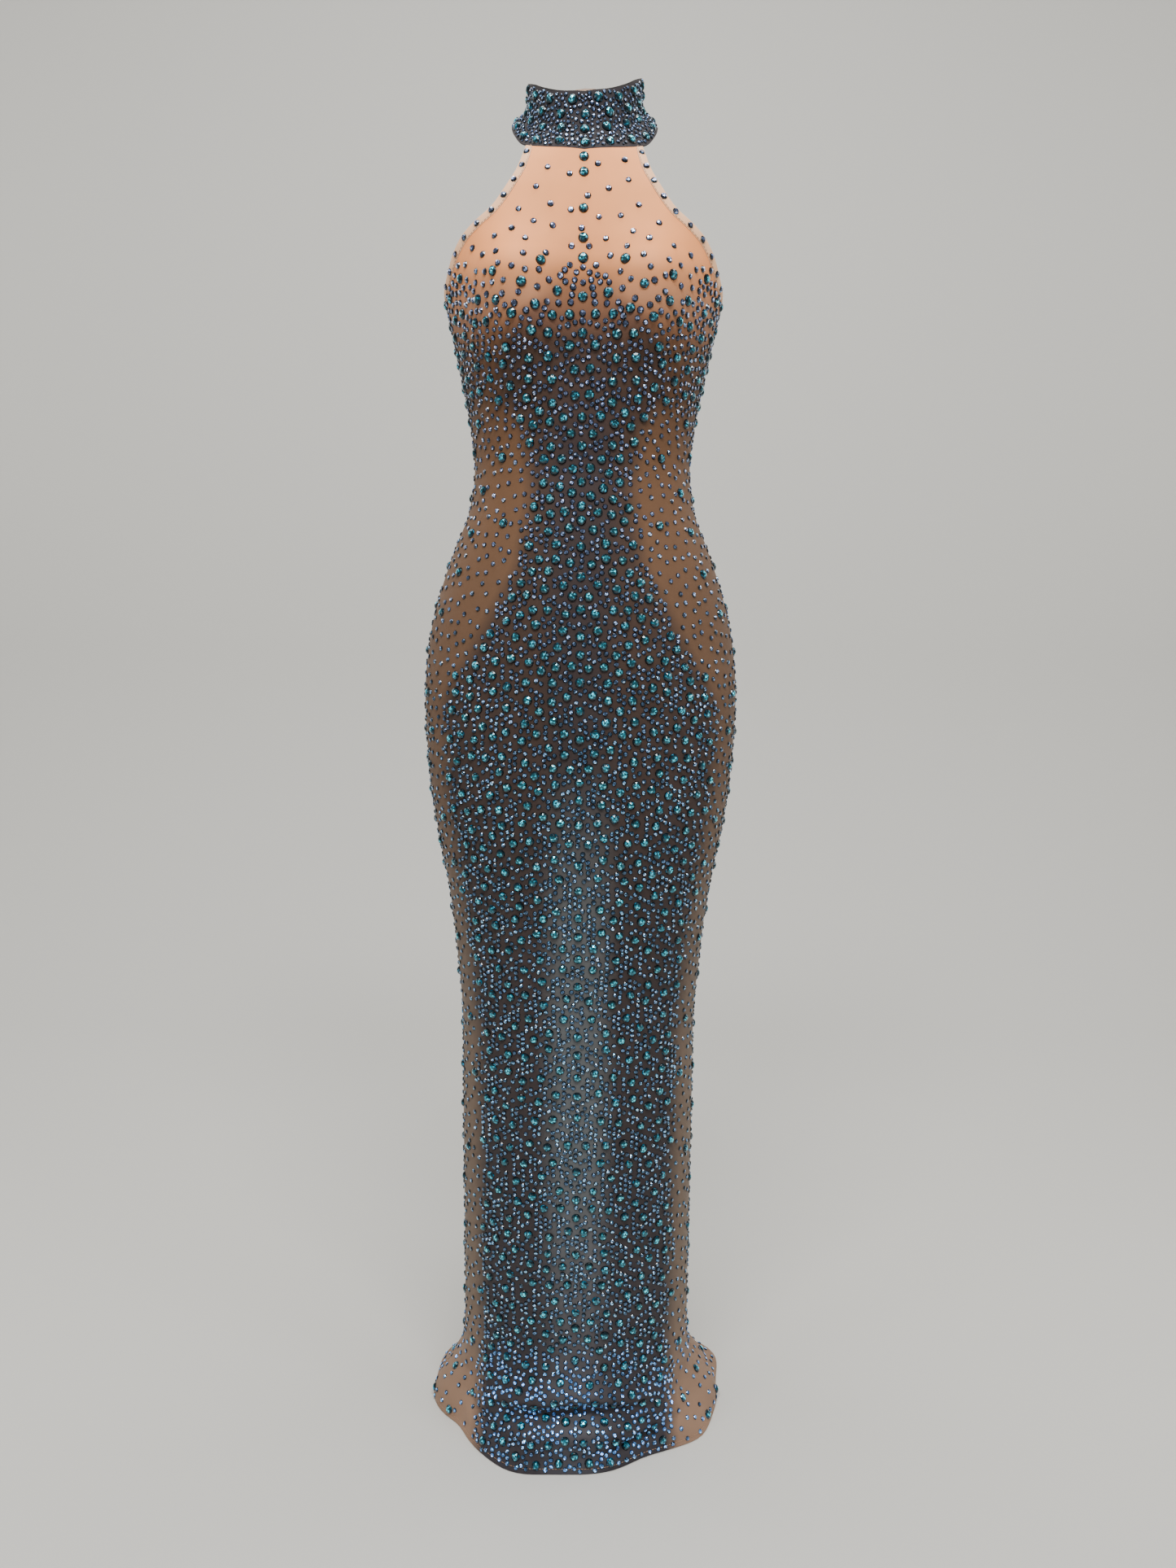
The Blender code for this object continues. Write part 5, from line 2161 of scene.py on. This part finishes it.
@dataclass
class ZipFastener:
    """The zip's tape and closed coil; the slider and its pull tab stay as they are made."""

    shape: GownShape
    panels: ClothPanels
    trees: TreeBuilder
    half_width: float = 0.011
    thickness: float = 0.0010
    covered_by: float = 0.0020
    columns: int = 12
    coil_pitch: float = 0.0013
    coil_radius: float = 0.00045
    coil_width: float = 0.0036
    coil_slant: float = math.radians(78)
    coil_sides: int = 8
    coil_sunk: float = 0.8
    coil_top_share: float = 0.74
    collar_rows: int = 14

    def line(self) -> tuple[Array, Array]:
        """Heights of the tape's rows on the panels, and shares of those on the collar."""
        heights, _ = self.panels.rows(False)
        first = np.searchsorted(heights, self.panels.zip_bottom)
        return heights[first - 1 :], np.linspace(0, 1, self.collar_rows + 1)[1:]

    def grid(self, inset: float) -> Array:
        """The tape's points under the panels and the collar, by an inset.

        Args:
            inset: how far under the outer face they are.

        Returns:
            The points, in rows from the foot up.
        """
        rows = []
        heights, shares = self.line()
        for surface, places in ((self.shape.body, heights), (self.shape.collar, shares)):
            for place in places:
                level = np.array(place)
                reach = self.half_width / np.linalg.norm(surface(level, np.array(math.pi))[:2])
                turns = np.linspace(math.pi - reach, math.pi + reach, self.columns + 1)
                rows.append(self.shape.layer(surface, np.full(turns.shape, place), turns, inset))
        return np.array(rows)

    def make_tape(self, material: Material) -> None:
        """Builds the tape, in place of its solid.

        Args:
            material: its cloth.
        """
        outside = self.grid(self.covered_by + SEAM_GAP)
        inside = self.grid(self.covered_by + SEAM_GAP + self.thickness)
        mesh = wall_mesh("zip_tape_cloth", outside, inside)
        piece = show("zip_tape_cloth", mesh, material)
        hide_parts("zip_tape")

    def make_coil(self, material: Material) -> None:
        """Builds the closed coil's teeth up the middle of the tape, to under the slider.

        Args:
            material: its finish.
        """
        inset = self.covered_by + SEAM_GAP - self.coil_radius * self.coil_sunk
        heights, shares = self.line()
        shares = shares[shares < self.coil_top_share]
        lines, facings = [], []
        for surface, places in ((self.shape.body, heights), (self.shape.collar, shares)):
            behind = np.full(places.shape, math.pi)
            lines.append(self.shape.layer(surface, places, behind, inset))
            facings.append(self.shape.facing(surface, places, behind))
        line, facing = np.concatenate(lines), np.concatenate(facings)
        distance = distance_along(line)
        wanted = np.arange(self.coil_pitch, distance[-1], self.coil_pitch)
        points, outward = (
            np.stack([np.interp(wanted, distance, rows[:, i]) for i in range(3)], axis=-1)
            for rows in (line, facing)
        )
        carried = {"facing": outward, "along": np.gradient(points, axis=0)}
        mesh = self.trees.grow("zip_coil", self.trees.bar_tree, points, carried, {
            "Radius": self.coil_radius,
            "Length": self.coil_width,
            "Sides": self.coil_sides,
            "Turn": self.coil_slant,
            "Material": material,
        })
        show("zip_coil", mesh, material)


@dataclass
class Studio:
    """The floor, the backdrop, the soft light and the camera."""

    floor_height: float = -NECK_HEIGHT
    wall_distance: float = 1.9
    half_width: float = 7.0
    front_reach: float = 7.0
    wall_height: float = 4.5
    bend_radius: float = 0.8
    bend_steps: int = 16
    paint_colour: Colour = (0.67, 0.67, 0.65)
    paint_roughness: float = 0.85
    air_colour: Colour = (0.86, 0.85, 0.82)
    air_strength: float = 0.36
    camera_place: Place = (0.009, -1.200, -0.444)
    camera_down: float = math.radians(9.9)
    camera_roll: float = math.radians(0.5)
    focal_length: float = 24.96
    film_height: float = 36.0
    nearest_seen: float = 0.05

    def make_sweep(self) -> None:
        """A pale floor that bends up into a plain backdrop."""
        profile = [(-self.front_reach, self.floor_height)]
        start = self.wall_distance - self.bend_radius
        for step in range(self.bend_steps + 1):
            angle = math.pi / 2 * step / self.bend_steps
            profile.append((
                start + self.bend_radius * math.sin(angle),
                self.floor_height + self.bend_radius * (1 - math.cos(angle)),
            ))
        profile.append((self.wall_distance, self.floor_height + self.wall_height))
        points = [(x, y, z) for y, z in profile for x in (-self.half_width, self.half_width)]
        faces = [(2 * i, 2 * i + 1, 2 * i + 3, 2 * i + 2) for i in range(len(profile) - 1)]
        mesh = bpy.data.meshes.new("studio_sweep")
        mesh.from_pydata(points, [], faces)
        mesh.shade_smooth()
        sweep = bpy.data.objects.new("studio_sweep", mesh)
        bpy.context.scene.collection.objects.link(sweep)
        material = bpy.data.materials.new("pale_paint")
        material.use_nodes = True
        shader = material.node_tree.nodes["Principled BSDF"]
        shader.inputs["Base Color"].default_value = opaque(self.paint_colour)
        shader.inputs["Roughness"].default_value = self.paint_roughness
        mesh.materials.append(material)

    @staticmethod
    def add_light(lamp: Lamp) -> None:
        """Hangs one lamp and points it at its target.

        Args:
            lamp: what the light is and where it goes.
        """
        light = bpy.data.lights.new(lamp.name, "AREA")
        light.shape = "RECTANGLE"
        light.size, light.size_y = lamp.size
        light.energy = lamp.power
        light.color = lamp.tint
        holder = bpy.data.objects.new(lamp.name, light)
        holder.location = lamp.place
        direction = Vector(lamp.target) - Vector(lamp.place)
        holder.rotation_euler = direction.to_track_quat("-Z", "Y").to_euler()
        bpy.context.scene.collection.objects.link(holder)

    def make_light(self) -> None:
        """Hangs the lamps, and gives the air a little light of its own."""
        for lamp in LAMPS:
            self.add_light(lamp)
        world = bpy.data.worlds.new("studio_air")
        world.use_nodes = True
        air = world.node_tree.nodes["Background"]
        air.inputs["Color"].default_value = opaque(self.air_colour)
        air.inputs["Strength"].default_value = self.air_strength
        bpy.context.scene.world = world

    def make_camera(self) -> None:
        """The camera at the photograph's angle."""
        film = bpy.data.cameras.new("photo_camera")
        film.sensor_fit = "VERTICAL"
        film.sensor_height = self.film_height
        film.lens = self.focal_length
        film.clip_start = self.nearest_seen
        camera = bpy.data.objects.new("photo_camera", film)
        camera.rotation_mode = "XYZ"
        down = math.pi / 2 - self.camera_down
        camera.rotation_euler = (down, 0.0, 0.0)
        camera.location = self.camera_place
        camera.rotation_euler.rotate_axis("Z", self.camera_roll)
        bpy.context.scene.collection.objects.link(camera)
        bpy.context.scene.camera = camera

    def make(self) -> None:
        """Sets up the whole studio."""
        self.make_sweep()
        self.make_light()
        self.make_camera()


def make_stones(shape: GownShape, panels: ClothPanels, bindings: Bindings, setting: StoneSetting) -> None:
    """Plans and sets every stone on the gown.

    Args:
        shape: the gown's surfaces.
        panels: the panels that carry most of them.
        bindings: the bindings, which carry a single row.
        setting: what makes the meshes.
    """
    plan = StonePlan(shape, panels)
    candidates = {side: plan.panel_candidates(side) for side in Side}
    collar_large, collar_small, collar_tiny, edge_small = Stones(), Stones(), Stones(), Stones()
    plan.set_collar(collar_large, collar_small, collar_tiny)
    yoke = Stones()
    plan.set_yoke(yoke)
    large = plan.set_large(candidates)
    large[Side.FRONT].points += yoke.points
    large[Side.FRONT].facing += yoke.facing
    for sign in (-1, 1):
        plan.set_binding(bindings, sign, edge_small)
    for number, side in enumerate(Side):
        seed = PANEL_SEED + SEED_STEP * number
        small, upper = Stones(), Stones()
        if side is Side.FRONT:
            plan.set_fountain(upper)
        plan.set_strings(side, small)
        plan.fill_small(candidates[side], small, upper)
        setting.make(f"{side.value}_small_stones", small, SMALL_CUT, PERIWINKLE, seed)
        setting.make(f"{side.value}_yoke_stones", upper, YOKE_CUT, PERIWINKLE, seed + YOKE_SEED)
        setting.make(f"{side.value}_large_stones", large[side], LARGE_CUT, TEAL, seed + LARGE_SEED)
    setting.make("collar_small_stones", collar_small, COLLAR_CUT, COLLAR_BLUE, COLLAR_SEEDS[0])
    setting.make("collar_tiny_stones", collar_tiny, TINY_CUT, COLLAR_BLUE, COLLAR_SEEDS[1])
    setting.make("collar_large_stones", collar_large, LARGE_CUT, TEAL, COLLAR_SEEDS[2])
    setting.make("binding_stones", edge_small, YOKE_CUT, PERIWINKLE, BINDING_SEED)


def main() -> None:
    """Builds the gown's looks, piece by piece."""
    logging.basicConfig(level=logging.INFO, format="%(name)s %(message)s")
    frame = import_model()
    studio = Studio()
    studio.make()
    shape = GownShape()
    finishes = FinishRoom()
    trees = TreeBuilder()
    panels = ClothPanels(shape)
    sheer = finishes.cloth(SHEER_MESH)
    for side in Side:
        panels.make(side, sheer)
    Collar(shape).make(finishes.cloth(COLLAR_CLOTH))
    bindings = Bindings(shape)
    for node, sign in (("armhole_binding_left", 1), ("armhole_binding_right", -1)):
        bindings.make(node, sign, finishes.cloth(BINDING_CLOTH))
    zip_fastener = ZipFastener(shape, panels, trees)
    zip_fastener.make_tape(finishes.cloth(ZIP_CLOTH))
    zip_fastener.make_coil(finishes.cloth(ZIP_CLOTH))
    for node in ("zip_slider", "zip_pull_tab"):
        frame["nodes"][node].data.materials.clear()
        frame["nodes"][node].data.materials.append(finishes.metal(NICKEL))
    Needlework(shape, panels, bindings, trees).make(finishes.cloth(THREAD))
    make_stones(shape, panels, bindings, StoneSetting(trees, finishes))


if __name__ == "__main__":
    main()
